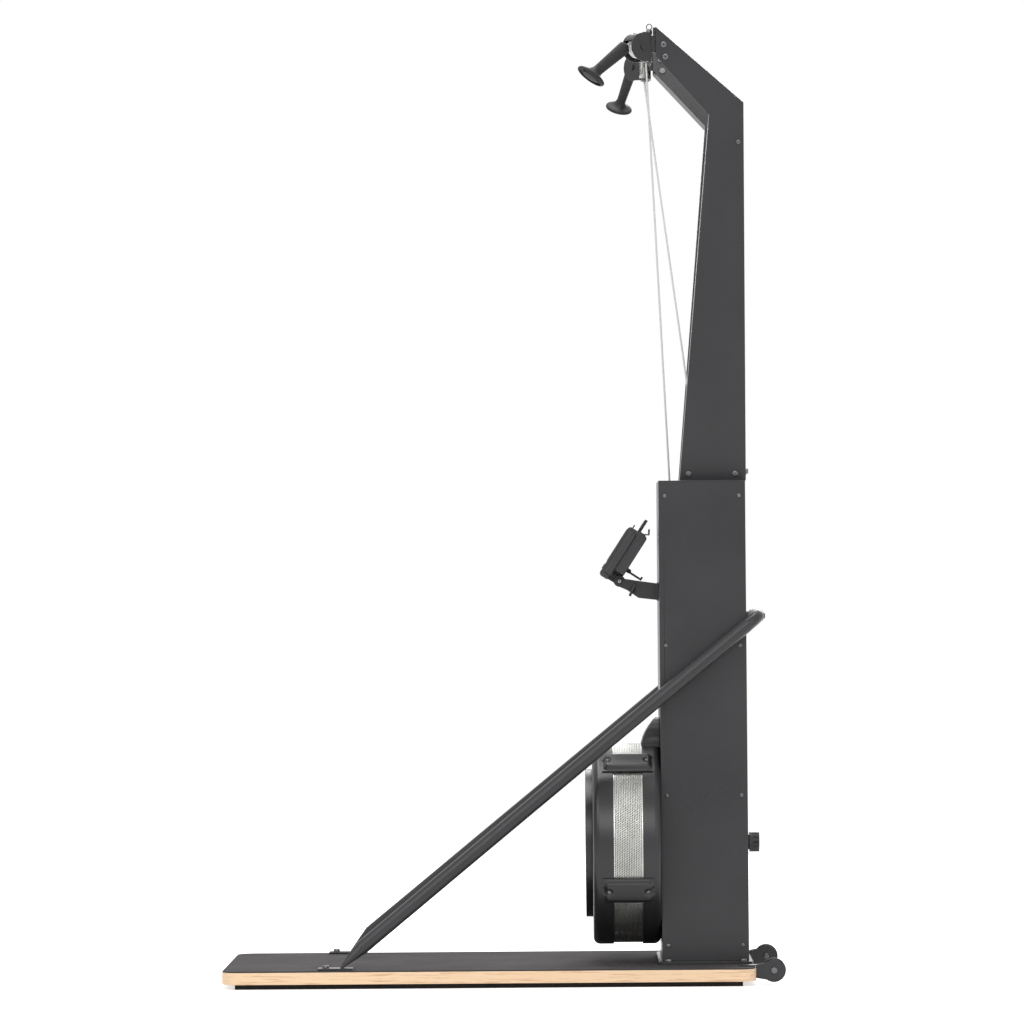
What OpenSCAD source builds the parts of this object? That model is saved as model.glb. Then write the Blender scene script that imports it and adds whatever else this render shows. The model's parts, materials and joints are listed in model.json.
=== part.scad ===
// Ski trainer with a fan brake, standing on its own board.
// X runs from the user's end to the back, Y to the user's left, Z up from the floor.
// The origin is on the floor under the middle of the board.

/* [Standing board] */
// Length of the board, front to back
board_l = 1200; // [1100:10:1300]
// Width of the board
board_w = 600; // [580:10:700]
// Thickness of the plywood
board_t = 27; // [21:1:36]
// Radius of the board's corners seen from above
board_corner_r = 40; // [20:1:60]
// Thickness of the anti-slip mat
mat_t = 3; // [2:0.5:5]
// Height of the rubber runners under the board
runner_h = 12; // [8:1:16]
// Width of each rubber runner
runner_w = 40; // [20:1:60]
// From the board's edge to a rubber runner
runner_inset = 25; // [10:1:60]

/* [Column] */
// From the column's back face to the board's end
column_setback = 11; // [6:1:20]
// Depth of the column, front to back
column_depth = 197; // [190:1:210]
// Width of the column
column_w = 280; // [270:1:300]
// Height of the casing
column_h = 1090; // [1060:5:1150]
// Thickness of the casing sheet
sheet_t = 2; // [1.5:0.5:3]
// Depth of the folded edges of the front and rear panels
fold_w = 25; // [22:1:32]
// Thickness of the base plate
base_t = 6; // [4:1:10]
// How far the base plate reaches past the column's sides
base_flange = 32; // [26:1:40]

/* [Inner frame] */
// Distance between the two posts
post_gap = 98; // [96:1:104]
// Width of a post, across the machine
post_w = 26; // [22:1:28]
// Depth of a post, front to back
post_depth = 134; // [120:1:138]
// Wall of a post
post_wall = 3; // [2:0.5:4]
// How far the posts reach up into the arms
post_rise = 60; // [45:1:80]
// Thickness of the bearing plates and side plates
plate_t = 6; // [4:1:8]

/* [Arms] */
// Thickness of an arm, across the machine
arm_t = 50; // [44:1:56]
// Wall of an arm
arm_wall = 2.5; // [2:0.5:3]
// Distance between the arms where they stand on the column
arm_gap = 60; // [54:1:64]
// Outward lean of each arm
arm_lean = 8; // [6:0.5:10]
// How far an arm's back face stands behind the column's
arm_step = 4; // [0:1:6]
// Depth of an arm at its foot
arm_foot_depth = 152; // [145:1:158]
// Depth of an arm at its inner bend
arm_bend_depth = 80; // [70:1:95]
// Height of the inner bend above the column
arm_inner_h = 833; // [780:1:880]
// Height of the outer bend above the column
arm_outer_h = 860; // [840:1:920]
// Forward reach of the arm's tip
arm_reach = 200; // [185:1:215]
// Height of the tip's top above the column
arm_tip_h = 1031; // [1000:1:1060]
// Height of the tip's front face
arm_tip_face = 66; // [62:1:70]

/* [Pulley heads] */
// From the arm's tip to the swivel axis
swivel_out = 14; // [14:0.5:18]
// From the tip's top down to the pulley axle
axle_drop = 53; // [50:1:56]
// From the swivel axis to the pulley axle
axle_out = 31; // [31:0.5:34]
// Outer radius of a pulley
pulley_r = 24; // [22:0.5:24]
// Width of a pulley
pulley_w = 18; // [17:1:22]
// Radius at the bottom of the pulley's groove
groove_r = 18.5; // [17:0.5:20]
// Outer radius of a yoke plate
yoke_r = 32; // [30:0.5:32]
// Outer width of a yoke
yoke_w = 38; // [36:1:40]
// Thickness of a yoke plate
yoke_t = 2.5; // [2:0.5:3]
// Diameter of a pulley axle
axle_d = 8; // [6:1:10]
// Diameter of a swivel pin
pin_d = 5; // [4:0.5:6]
// Right head turned outwards at rest
right_heading = 36; // [30:1:45]
// Left head turned outwards at rest
left_heading = 52; // [45:1:55]

/* [Handles] */
// Length of a handle from its nose to the end of its flange
handle_l = 126; // [115:1:145]
// Thickest radius of the grip, near the nose
grip_r = 15.5; // [14:0.5:16]
// Radius of the grip at the flange
waist_r = 12.5; // [11:0.5:14]
// Radius of the nose that seats in the yoke
nose_r = 7; // [6:0.5:7]
// Radius of the end flange
flange_r = 35; // [32:0.5:36]
// Thickness of the end flange
flange_t = 11; // [8:0.5:14]
// Slant of the end flange
flange_slant = 16; // [10:1:18]
// Width of the grip as a share of its height
grip_share = 0.7; // [0.65:0.05:0.75]
// Width of the end flange as a share of its height
flange_share = 0.82; // [0.8:0.02:0.9]
// Right handle hangs below the horizontal at rest
right_dip = 39; // [36:1:55]
// Left handle hangs below the horizontal at rest
left_dip = 47; // [40:1:60]
// Right handle leans outwards from its yoke
right_lean = -8; // [-10:1:10]
// Left handle leans outwards from its yoke
left_lean = 11; // [5:1:12]

/* [Cords and drive] */
// Diameter of a cord
cord_d = 4.5; // [3.5:0.5:5]
// Height of the fan's axle above the floor
drive_z = 310; // [305:1:325]
// Diameter of the drive shaft
shaft_d = 20; // [16:1:25]
// Radius of a drum's winding surface
drum_r = 30; // [27:1:32]
// Radius of a drum's flanges
drum_flange_r = 40; // [38:1:42]
// Width of a drum
drum_w = 26; // [22:1:26]
// Outer radius of a recoil case
recoil_r = 46; // [44:1:46]
// Width of a recoil case
recoil_w = 20; // [18:1:22]
// From the column's front face to the right drum's middle
right_drum_x = 28; // [28:1:30]
// From the column's front face to the left drum's middle
left_drum_x = 100; // [96:1:102]
// Outer diameter of a shaft bearing
bearing_d = 42; // [40:1:47]
// Width of a shaft bearing
bearing_w = 11; // [8:1:11]

/* [Fan] */
// Outer radius of the fan's shells
fan_r = 231; // [225:1:236]
// Depth of the rear shell
rear_shell_l = 42; // [36:1:46]
// Visible width of the perforated band
band_w = 66; // [60:1:72]
// Depth of the front shell
front_shell_l = 47; // [42:1:54]
// Wall of the shells
shell_t = 3; // [2.5:0.5:4]
// Radius of the shells' rounded edges
shell_round = 16; // [10:1:22]
// Gap between the fan and the column
fan_gap = 0.5; // [0.3:0.1:1]
// Radius of the intake ring
intake_r = 169; // [160:1:175]
// Depth of the intake ring
intake_l = 16; // [12:1:20]
// Number of fan blades
blades = 24; // [16:1:32]
// Outer radius of the fan blades
blade_r = 205; // [190:1:210]
// Height of the fairing above the shells
fairing_rise = 57; // [40:1:65]
// Height over which the fairing slopes forward
fairing_drop = 66; // [60:1:70]
// Half width of the fairing
fairing_r = 60; // [50:1:75]
// Length of a clamp bridge along the shells
clamp_l = 116; // [112:1:122]
// Width of a clamp bridge round the shells
clamp_w = 60; // [50:1:70]

/* [Damper control] */
// Diameter of the damper knob
knob_d = 45; // [38:1:50]
// Length of the damper knob
knob_l = 22; // [18:1:28]
// Diameter of the damper cable
cable_d = 5; // [4:0.5:6]

/* [Monitor] */
// Height of the monitor along its face
monitor_h = 130; // [120:1:140]
// Width of the monitor
monitor_w = 170; // [160:1:190]
// Thickness of the monitor
monitor_t = 50; // [46:1:54]
// Lean of the monitor from the vertical
monitor_lean = 33; // [30:1:36]
// Height of the monitor's pivot above the floor
pivot_z = 911; // [880:1:940]
// From the column's front face to the monitor's pivot
pivot_out = 89; // [86:1:95]
// Wall of the monitor's case
case_wall = 3; // [2:0.5:4]
// Diameter of the pivot bolt
pivot_d = 8; // [6:1:10]
// Distance between the bracket's cheeks
cheek_gap = 60; // [56:1:66]
// Diameter of a button
button_d = 12; // [10:1:16]
// Travel of a button
button_travel = 1.5; // [1:0.25:2]

/* [Stay] */
// Diameter of the stay tube
stay_d = 32; // [28:1:34]
// Wall of the stay tube
stay_wall = 2; // [1.5:0.5:3]
// From the column's front face forward to the stay's feet
stay_foot_out = 730; // [680:5:760]
// Distance from the middle to a stay foot
stay_foot_y = 268; // [255:1:275]
// Height of the stay's cross tube above the floor
stay_cross_z = 829; // [790:1:870]
// Gap between the cross tube and the column's back
stay_gap = 9.6; // [8:0.1:14]
// Bend radius of the stay tube
stay_bend_r = 36; // [34:1:38]
// Length of a flattened foot
stay_flat_l = 66; // [55:1:80]

/* [Transport wheels] */
// Radius of a transport wheel
wheel_r = 27; // [24:1:28]
// Width of a transport wheel
wheel_w = 24; // [20:1:30]
// Height of a wheel's underside above the floor
wheel_lift = 6; // [4:1:8]
// From the board's end to the wheel axle
wheel_out = 41; // [38:1:50]
// Distance from the middle to a wheel
wheel_y = 228; // [215:1:240]
// Thickness of a wheel bracket
bracket_t = 3; // [2:0.5:4]

/* [Fasteners and fits] */
// Diameter of the frame bolts
bolt_d = 8; // [6:1:8]
// Diameter of the case screws
screw_d = 5; // [4:0.5:5]
// Clearance round bolts and between parts
fit = 0.3; // [0.2:0.05:0.4]
// Radial clearance of turning parts
run_fit = 0.05; // [0.03:0.01:0.08]

/* [Hidden] */
$fn = 64;
eps = 0.01;
cut = 1;
past = 300;
right = -1;
left = 1;
sides = [right, left];

// Colours as the machine shows them
steel_black = "#3d3d40";
plastic_black = "#2c2c2e";
rubber_black = "#262627";
bare_steel = "#b9bcc0";
nylon_white = "#ececea";

// Levels and stations of the standing board and the column
board_x0 = -board_l / 2;
board_x1 = board_l / 2;
deck_z = runner_h + board_t + mat_t;
column_x1 = board_x1 - column_setback;
column_x0 = column_x1 - column_depth;
column_z = deck_z + base_t;
column_top = column_z + column_h;
panel_top = column_top - sheet_t;
inner_y = column_w / 2 - sheet_t;
base_overhang = 8;
deck_bolt_l = 26;
deck_hole_l = 60;
deck_bolt_x = [column_x0 + 14, column_x1 - 14];
deck_bolt_y = column_w / 2 + base_flange / 2;

// Case screws: two columns and four rows on each side panel
screw_inset = 14;
screw_rows = 4;
screw_z0 = 35;
screw_x = [column_x0 + screw_inset, column_x1 - screw_inset];
screw_pitch = (column_h - 2 * screw_z0) / (screw_rows - 1);
screw_head_h = 2.5;
screw_shank = 8;

// Posts and bearing plates
post_x1 = column_x1 - sheet_t - 3;
post_x0 = post_x1 - post_depth;
post_y0 = post_gap / 2;
post_y1 = post_y0 + post_w;
front_plate_x = column_x0 + sheet_t + 2;
rear_plate_x = column_x0 + left_drum_x + drum_w / 2 + recoil_w + 20;
side_plate_h = 180;

// Arms: the profile lies in the leaning plane, so heights are stretched by the lean
arm_x1 = column_x1 + arm_step;
lean_k = 1 / cos(arm_lean);
arm_tip_x = arm_x1 - arm_reach;
arm_root = 30;
arm_profile = [
    [arm_x1 - arm_foot_depth, -arm_root], [arm_x1, -arm_root], [arm_x1 - 2, arm_outer_h * lean_k],
    [arm_tip_x, arm_tip_h * lean_k], [arm_tip_x, (arm_tip_h - arm_tip_face) * lean_k],
    [arm_x1 - arm_bend_depth, arm_inner_h * lean_k], [arm_x1 - arm_foot_depth, 0]];
arm_walls = [-cut, arm_wall, arm_wall, -cut, arm_wall, arm_wall, arm_wall];
arm_tip_y = arm_gap / 2 + arm_t / 2 / cos(arm_lean) + (arm_tip_h - arm_tip_face / 2) * tan(arm_lean);

// Bolts at the arm's tip: from its front face, and down from its top
tip_bolts = [[18, 40], [22, 67]];
arm_screw_x = [post_x0 + 14, post_x1 - 14];
arm_screw_h = 16;
arm_rear_bolt_h = 22;

// Pulley heads
swivel_x = arm_tip_x - swivel_out;
axle_z = column_top + arm_tip_h - axle_drop;
cord_r = groove_r + cord_d / 2 + fit;
hood_t = 1.5;
hood_end = 27;
lug_t = 3;
lug_top = yoke_r + 2;
barrel_r = 5;
yoke_back = 8;
yoke_inner = yoke_w / 2 - yoke_t;
hood_w = 2 * yoke_inner + yoke_t;
yoke_low = yoke_r - 0.5;
barrel_z0 = axle_z - yoke_low + lug_t + fit;
barrel_z1 = axle_z + lug_top - lug_t - fit;
pin_z0 = axle_z - yoke_r - 9;
pin_head_h = 7;
pin_z1 = axle_z + lug_top + pin_head_h + 3;

// Handles: distances along the handle's axis start where the cord leaves the pulley
nose_s = 20;
neck_s = 23;
shoulder_s = 29;
lead_l = 48;
handle_bore_r = cord_d / 2 + 0.6;
handle_bore_end = lead_l + 8;
handle_end = nose_s + handle_l;

// Drive line
fan_x1 = column_x0 - fan_gap;
fan_x0 = fan_x1 - rear_shell_l - band_w - front_shell_l;
band_x0 = fan_x0 + front_shell_l;
band_x1 = band_x0 + band_w;
intake_x0 = fan_x0 - intake_l;
intake_hole_r = 145;
hub_r = 48;
right_drum_cx = column_x0 + right_drum_x;
left_drum_cx = column_x0 + left_drum_x;
drum_cord_y = -(drum_r + cord_d / 2 + fit);
shaft_x0 = fan_x0 + 22;
shaft_x1 = rear_plate_x + plate_t + 10;
eyelet_h = 8;
right_eyelet = [right_drum_cx, -12, column_top];
left_eyelet = [left_drum_cx, -8, column_top];
eyelet_r = 7;
eyelet_bore_r = 4;
ring_x = fan_x0 + shell_t + 1;

// Side view of the fairing: shares of the rear shell's depth in front of the column, and of the drop
fairing_low = 150;
fairing_curve = [[0, 0], [0.19, 0], [0.33, 0.08], [0.48, 0.21], [0.64, 0.36], [0.79, 0.52], [0.9, 0.68],
    [0.975, 0.84], [1, 1]];

clamp_cx = (band_x0 + band_x1) / 2;
clamp_screw_out = clamp_l / 2 - 14;

// Angles of the clamps from the horizontal, seen along X
clamp_angles = [54, -25];

// Flat spiral springs in the recoil cases
spring_turns = 7;
spring_t = 0.8;
spring_r0 = shaft_d / 2 + 5;
spring_pitch = (recoil_r - 4.5 - spring_r0) / spring_turns;

// Damper control
knob_pin_r = 5;
cable_z = drive_z - fan_r + 14;
cable_y = 20;
cable_x = ring_x + 2 + cable_d / 2 + fit;
cable_rear_x = column_x1 - sheet_t - 8;
cable_points = [
    [cable_rear_x, cable_y, drive_z - 14], [cable_rear_x, cable_y, cable_z + 20],
    [cable_rear_x - 20, 0, cable_z], [cable_x, 0, cable_z], [cable_x, 0, drive_z - intake_hole_r - 6]];

// Monitor: its own frame has X through its thickness and Z along its face
pivot_x = column_x0 - pivot_out;
pivot_h = 12;
pivot_in = monitor_t - 1;
cheek_r = 13;
cheek_t = 3;
boss_r = 11;
notch_h = 28;
notch_in = 27;
screen_z0 = 40;
screen_z1 = monitor_h - 12;
screen_w = monitor_w - 34;
button_z = 22;
button_pitch = 40;
wing_x = column_x0 - 60;
wing_z = pivot_z - 21;
wing_d = 6;
clip_w = 44;
clip_x = monitor_t + fit + 5;
clip_z = 43;
clip_pin_d = 3;

// How much thinner a bend is than its straight runs, and how far they reach over it
pipe_slip = 0.4;
bend_slip = 0.1;
bend_lap = 1.5;

// Stay: the whole tube lies in one sloping plane
stay_x0 = column_x0 - stay_foot_out;
stay_z0 = deck_z + 6;
stay_cross_x = column_x1 + stay_gap + stay_d / 2;
stay_run = stay_cross_x - stay_x0;
stay_rise = stay_cross_z - stay_z0;
stay_angle = atan2(stay_rise, stay_run);
stay_reach = norm([stay_run, stay_rise]);
stay_side_y = column_w / 2 + stay_d / 2 + 2;
stay_side_a = (column_x1 - stay_x0) / cos(stay_angle);
stay_slope = (stay_foot_y - stay_side_y) / stay_side_a;
stay_turn = 90 - atan(stay_slope);
stay_corner_y = stay_foot_y - stay_slope * stay_reach;
stay_tangent = stay_bend_r * tan(stay_turn / 2);
stay_leg_l = stay_reach - stay_tangent * sin(stay_turn);
foot_plate_l = 78;
foot_plate_w = 44;
foot_plate_t = 5;
foot_bolt_x = stay_x0 - 28;

// Wheels
wheel_x = board_x1 + wheel_out;
wheel_z = wheel_lift + wheel_r;
cheek_y = wheel_w / 2 + 2;

// Where two lines cross, each given by a point and a direction
function cross2(a, b) = a[0] * b[1] - a[1] * b[0];
function meet(p, u, q, v) = p + u * cross2(q - p, v) / cross2(u, v);
function inward(u) = [-u[1], u[0]] / norm(u);

// A counter-clockwise outline with each of its edges moved in by its own wall
function inset(pts, walls) = [for (i = [0:len(pts) - 1])
    let (n = len(pts), a = pts[(i + n - 1) % n], b = pts[i], c = pts[(i + 1) % n],
        u = b - a, v = c - b)
    meet(b + inward(u) * walls[(i + n - 1) % n], u, b + inward(v) * walls[i], v)];

// Parts that come in a left and a right copy are drawn for the left
module on_side(side) {
    mirror([0, side == right ? 1 : 0, 0]) children();
}

// A straight round bar between two points
module bar(p, q, d) {
    v = q - p;
    translate(p) rotate([0, acos(v[2] / norm(v)), atan2(v[1], v[0])]) cylinder(d = d, h = norm(v));
}

// A cylinder along X from x0 to x1
module along_x(x0, x1, r) {
    translate([x0, 0, 0]) rotate([0, 90, 0]) cylinder(r = r, h = x1 - x0);
}

// A ring along X with a round bore
module ring_x_axis(x0, x1, r, bore) {
    difference() {
        along_x(x0, x1, r);
        along_x(x0 - cut, x1 + cut, bore);
    }
}

module rounded_plate(l, w, r) {
    square([l - 2 * r, w], center = true);
    square([l, w - 2 * r], center = true);
    for (x = [-1, 1], y = [-1, 1]) translate([x * (l / 2 - r), y * (w / 2 - r)]) circle(r);
}

// Head at z 0 and above, shank below
module bolt(d, l, head_d, head_h) {
    cylinder(d = head_d, h = head_h);
    translate([0, 0, -l]) cylinder(d = d, h = l + eps);
}

module deck_bolt_places() {
    for (x = deck_bolt_x, y = [-1, 1]) translate([x, y * deck_bolt_y, column_z]) children();
}

module foot_bolt_places() {
    for (y = [-1, 1]) translate([foot_bolt_x, y * stay_foot_y, deck_z + foot_plate_t]) children();
}

module deck_holes() {
    deck_bolt_places() translate([0, 0, -base_t - deck_bolt_l])
        cylinder(d = bolt_d + 2 * fit, h = deck_hole_l);
    foot_bolt_places() translate([0, 0, -foot_plate_t - deck_bolt_l])
        cylinder(d = bolt_d + 2 * fit, h = deck_hole_l);
}

module board() {
    color("burlywood") difference() {
        translate([0, 0, runner_h]) linear_extrude(board_t) rounded_plate(board_l, board_w, board_corner_r);
        deck_holes();
    }
}

module board_mat() {
    color("#5a585a") difference() {
        translate([0, 0, runner_h + board_t]) linear_extrude(mat_t)
            rounded_plate(board_l - 3, board_w - 3, board_corner_r - 1.5);
        deck_holes();
    }
}

module board_runners() {
    color(rubber_black) for (y = [-1, 0, 1])
        translate([-board_l / 2 + 30, y * (board_w / 2 - runner_inset - runner_w / 2) - runner_w / 2, 0])
            cube([board_l - 60, runner_w, runner_h]);
}

module base_plate() {
    color(steel_black) difference() {
        translate([(column_x0 + column_x1) / 2, 0, deck_z]) linear_extrude(base_t)
            rounded_plate(column_depth + 2 * base_overhang, column_w + 2 * base_flange, 8);
        deck_holes();
    }
}

// Bolt through the cross tube and the rear panel into each post
module stay_bolt_places() {
    for (y = [-1, 1]) translate([stay_cross_x + stay_d / 2 - 1, y * (post_y0 + post_y1) / 2, stay_cross_z])
        rotate([0, 90, 0]) children();
}

module arm_frame(side) {
    on_side(side) translate([0, arm_gap / 2, column_top]) rotate([-arm_lean, 0, 0]) children();
}

// Bolts that cross the arm's tip and the tongue of its hinge bracket
module tip_bolt_places(side) {
    arm_frame(side) for (b = tip_bolts) translate([arm_tip_x + b[0], arm_t, (arm_tip_h - b[1]) * lean_k])
        rotate([-90, 0, 0]) children();
}

module arm_screw_places(side) {
    on_side(side) for (x = arm_screw_x)
        translate([x, arm_gap / 2 + arm_t * lean_k + arm_screw_h * tan(arm_lean), column_top + arm_screw_h])
            rotate([-90 - arm_lean, 0, 0]) children();
}

module arm_rear_bolt_places(side) {
    on_side(side) translate([arm_x1, (post_y0 + post_y1) / 2, column_top + arm_rear_bolt_h])
        rotate([0, 90, 0]) children();
}

module frame_bolts() {
    color(bare_steel) {
        deck_bolt_places() bolt(bolt_d, base_t + deck_bolt_l - 3, 15, 6);
        foot_bolt_places() bolt(bolt_d, foot_plate_t + deck_bolt_l - 3, 15, 6);
        stay_bolt_places() bolt(bolt_d, stay_d - 1 + stay_gap + sheet_t + 3 + post_wall, 14, 5);
        for (side = sides) {
            tip_bolt_places(side) bolt(bolt_d, arm_t + 1, 15, 4);
            tip_bolt_places(side) translate([0, 0, -arm_t - 5]) cylinder(d = 13, h = 5);
            arm_screw_places(side) bolt(bolt_d - 2, 14, 14, 3);
            arm_rear_bolt_places(side) bolt(bolt_d, 20, 13, 6);
        }
    }
}

// A straight hollow tube between two points
module pipe(p, q, d, wall) {
    v = q - p;
    translate(p) rotate([0, acos(v[2] / norm(v)), atan2(v[1], v[0])]) difference() {
        cylinder(d = d, h = norm(v));
        translate([0, 0, -cut]) cylinder(d = d - 2 * wall, h = norm(v) + 2 * cut);
    }
}

// A bend lies inside the walls of the straight runs it joins, which reach a little way over it
module pipe_bend(r, angle, d, wall) {
    rotate_extrude(angle = angle) translate([r, 0]) difference() {
        circle(d = d - 2 * pipe_slip);
        circle(d = d - 2 * wall + 2 * pipe_slip);
    }
}

// The tube's run in its own plane: X up the slope, Y across
module stay_run() {
    for (m = [0, 1]) mirror([0, m, 0]) {
        pipe(stay_leg_at(stay_flat_l), stay_leg_at(stay_leg_l + bend_lap), stay_d, stay_wall);
        translate([stay_reach - stay_bend_r, stay_corner_y - stay_tangent, 0])
            pipe_bend(stay_bend_r, stay_turn, stay_d, stay_wall);
    }
    w = stay_corner_y - stay_tangent + bend_lap;
    pipe([stay_reach, -w, 0], [stay_reach, w, 0], stay_d, stay_wall);
}

function stay_leg_at(a) = [a, stay_foot_y - stay_slope * a, 0];

module stay_plane() {
    translate([stay_x0, 0, stay_z0]) rotate([0, -stay_angle, 0]) children();
}

module stay_tube() {
    color(steel_black) difference() {
        union() {
            stay_plane() stay_run();
            for (side = sides) on_side(side) hull() {
                stay_plane() translate(stay_leg_at(stay_flat_l - 2)) rotate([0, 90, -atan(stay_slope)])
                    cylinder(d = stay_d - stay_wall, h = 3, $fn = 32);
                translate([stay_x0 + 6, stay_foot_y - foot_plate_w / 2 + 2, deck_z + foot_plate_t])
                    cube([4, foot_plate_w - 4, 4]);
            }
        }
        stay_bolt_places() translate([0, 0, -stay_d * 2]) cylinder(d = bolt_d + 2 * fit, h = stay_d * 3);
        stay_bolt_places() translate([0, 0, -fit]) cylinder(d = 14 + 2 * fit, h = 10);
    }
}

// Foot plates on the mat and spacers behind the column
module stay_mounts() {
    color(steel_black) {
        for (side = sides) on_side(side) difference() {
            translate([stay_x0 - 45, stay_foot_y - foot_plate_w / 2, deck_z])
                cube([foot_plate_l, foot_plate_w, foot_plate_t]);
            translate([foot_bolt_x, stay_foot_y, 0]) cylinder(d = bolt_d + 2 * fit, h = past);
        }
        stay_bolt_places() translate([0, 0, -stay_d + 1 - stay_gap]) difference() {
            cylinder(d = 22, h = stay_gap - fit);
            translate([0, 0, -cut]) cylinder(d = bolt_d + 2 * fit, h = stay_gap + 2);
        }
    }
}

// Bracket with two round cheeks, folded over the board's end
module wheel_bracket_profile() {
    translate([wheel_x, wheel_z]) circle(r = wheel_r - 3);
    polygon([[board_x1 + fit, wheel_z - 17], [wheel_x, wheel_z - wheel_r + 3], [wheel_x, wheel_z + 20],
        [board_x1 + fit, deck_z + bracket_t]]);
}

module wheel_brackets() {
    color(steel_black) for (side = sides) on_side(side) translate([0, wheel_y, 0]) difference() {
        union() {
            for (y = [-cheek_y - bracket_t, cheek_y]) translate([0, y + bracket_t, 0]) rotate([90, 0, 0])
                linear_extrude(bracket_t) wheel_bracket_profile();
            translate([board_x1 + fit, -cheek_y - bracket_t, wheel_z - 17])
                cube([bracket_t, 2 * (cheek_y + bracket_t), deck_z + bracket_t - wheel_z + 17]);
            translate([board_x1 - 38, -cheek_y - bracket_t, deck_z])
                cube([38 + fit + bracket_t, 2 * (cheek_y + bracket_t), bracket_t]);
        }
        translate([wheel_x, past / 2, wheel_z]) rotate([90, 0, 0])
            cylinder(d = bolt_d + 2 * run_fit, h = past);
    }
}

module wheel_axles() {
    color(bare_steel) for (side = sides) on_side(side)
        translate([wheel_x, wheel_y - cheek_y - bracket_t, wheel_z]) rotate([90, 0, 0]) {
            bolt(bolt_d, 2 * (cheek_y + bracket_t) + 7, 13, 4);
            translate([0, 0, -2 * (cheek_y + bracket_t) - 6]) cylinder(d = 13, h = 6);
        }
}

module wheel(side) {
    color(rubber_black) on_side(side) translate([wheel_x, wheel_y, wheel_z]) rotate([90, 0, 0])
        rotate_extrude() polygon([
            [bolt_d / 2 + run_fit, -wheel_w / 2 - 1.5], [10, -wheel_w / 2 - 1.5], [10, -wheel_w / 2 + 2],
            [wheel_r - 7, -wheel_w / 2 + 2], [wheel_r - 5, -wheel_w / 2], [wheel_r - 2, -wheel_w / 2],
            [wheel_r, -wheel_w / 2 + 3], [wheel_r, wheel_w / 2 - 3], [wheel_r - 2, wheel_w / 2],
            [wheel_r - 5, wheel_w / 2], [wheel_r - 7, wheel_w / 2 - 2], [10, wheel_w / 2 - 2],
            [10, wheel_w / 2 + 1.5], [bolt_d / 2 + run_fit, wheel_w / 2 + 1.5]]);
}

module right_wheel() {
    wheel(right);
}

module left_wheel() {
    wheel(left);
}

// Screws of one side panel, each pointing into the casing
module side_screw_places(side) {
    on_side(side) for (x = screw_x, i = [0:screw_rows - 1])
        translate([x, column_w / 2, column_z + screw_z0 + i * screw_pitch])
            rotate([-90, 0, 0]) children();
}

module side_panel(side) {
    color(steel_black) difference() {
        on_side(side) translate([column_x0, inner_y, column_z])
            cube([column_depth, sheet_t, panel_top - column_z]);
        side_screw_places(side) translate([0, 0, -sheet_t - cut])
            cylinder(d = screw_d + 2 * fit, h = sheet_t + 2 * cut);
    }
}

module right_side_panel() {
    side_panel(right);
}

module left_side_panel() {
    side_panel(left);
}

// Front or rear panel: a face with a folded edge down each side
module folded_panel(x_face, fold_x) {
    h = panel_top - column_z;
    translate([x_face, -inner_y, column_z]) cube([sheet_t, 2 * inner_y, h]);
    for (side = sides) on_side(side) translate([fold_x, inner_y - sheet_t, column_z])
        cube([fold_w - sheet_t + eps, sheet_t, h]);
}

module bracket_screw_places() {
    for (y = [-1, 1]) translate([column_x0 - cheek_t, y * 14, pivot_z - 25]) rotate([0, -90, 0]) children();
}

// Hole through a panel and the fold behind it
module panel_hole(d) {
    translate([0, 0, -12]) cylinder(d = d + 2 * fit, h = 14);
}

module front_panel() {
    color(steel_black) difference() {
        folded_panel(column_x0, column_x0 + sheet_t - eps);
        for (side = sides) side_screw_places(side) panel_hole(screw_d);
        face = [column_x0 - cut, column_x0 + sheet_t + cut];
        translate([0, 0, drive_z]) along_x(face[0], face[1], shaft_d / 2 + 6);
        translate([0, 0, cable_z]) along_x(face[0], face[1], cable_d / 2 + fit);
        bracket_screw_places() panel_hole(screw_d);
    }
}

module rear_panel() {
    color(steel_black) difference() {
        folded_panel(column_x1 - sheet_t, column_x1 - fold_w);
        for (side = sides) side_screw_places(side) panel_hole(screw_d);
        stay_bolt_places() translate([0, 0, -stay_d - stay_gap - 8]) cylinder(d = bolt_d + 2 * fit, h = 20);
        translate([0, 0, drive_z])
            along_x(column_x1 - 3 * sheet_t, column_x1 + cut, knob_pin_r + run_fit + 1);
        dial_screw_places() panel_hole(4);
    }
}

module top_cover() {
    color(steel_black) difference() {
        translate([column_x0, -column_w / 2, panel_top]) cube([column_depth, column_w, sheet_t]);
        for (side = sides) on_side(side) translate([post_x0 - fit, post_y0 - fit, panel_top - cut])
            cube([post_depth + 2 * fit, post_w + 2 * fit, sheet_t + 2 * cut]);
        for (p = [right_eyelet, left_eyelet]) translate([p[0], p[1], panel_top - cut])
            cylinder(r = eyelet_r + fit, h = sheet_t + 2 * cut);
    }
}

module cord_eyelets() {
    color(plastic_black) for (p = [right_eyelet, left_eyelet]) translate(p) rotate_extrude() difference() {
        union() {
            translate([0, -sheet_t - 3]) square([eyelet_r, sheet_t + 5]);
            square([eyelet_r + 2.5, 2]);
            translate([0, -sheet_t - 3]) square([eyelet_r + 2.5, 3]);
        }
        translate([-cut, -20]) square([eyelet_bore_r + cut, 40]);
    }
}

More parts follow.
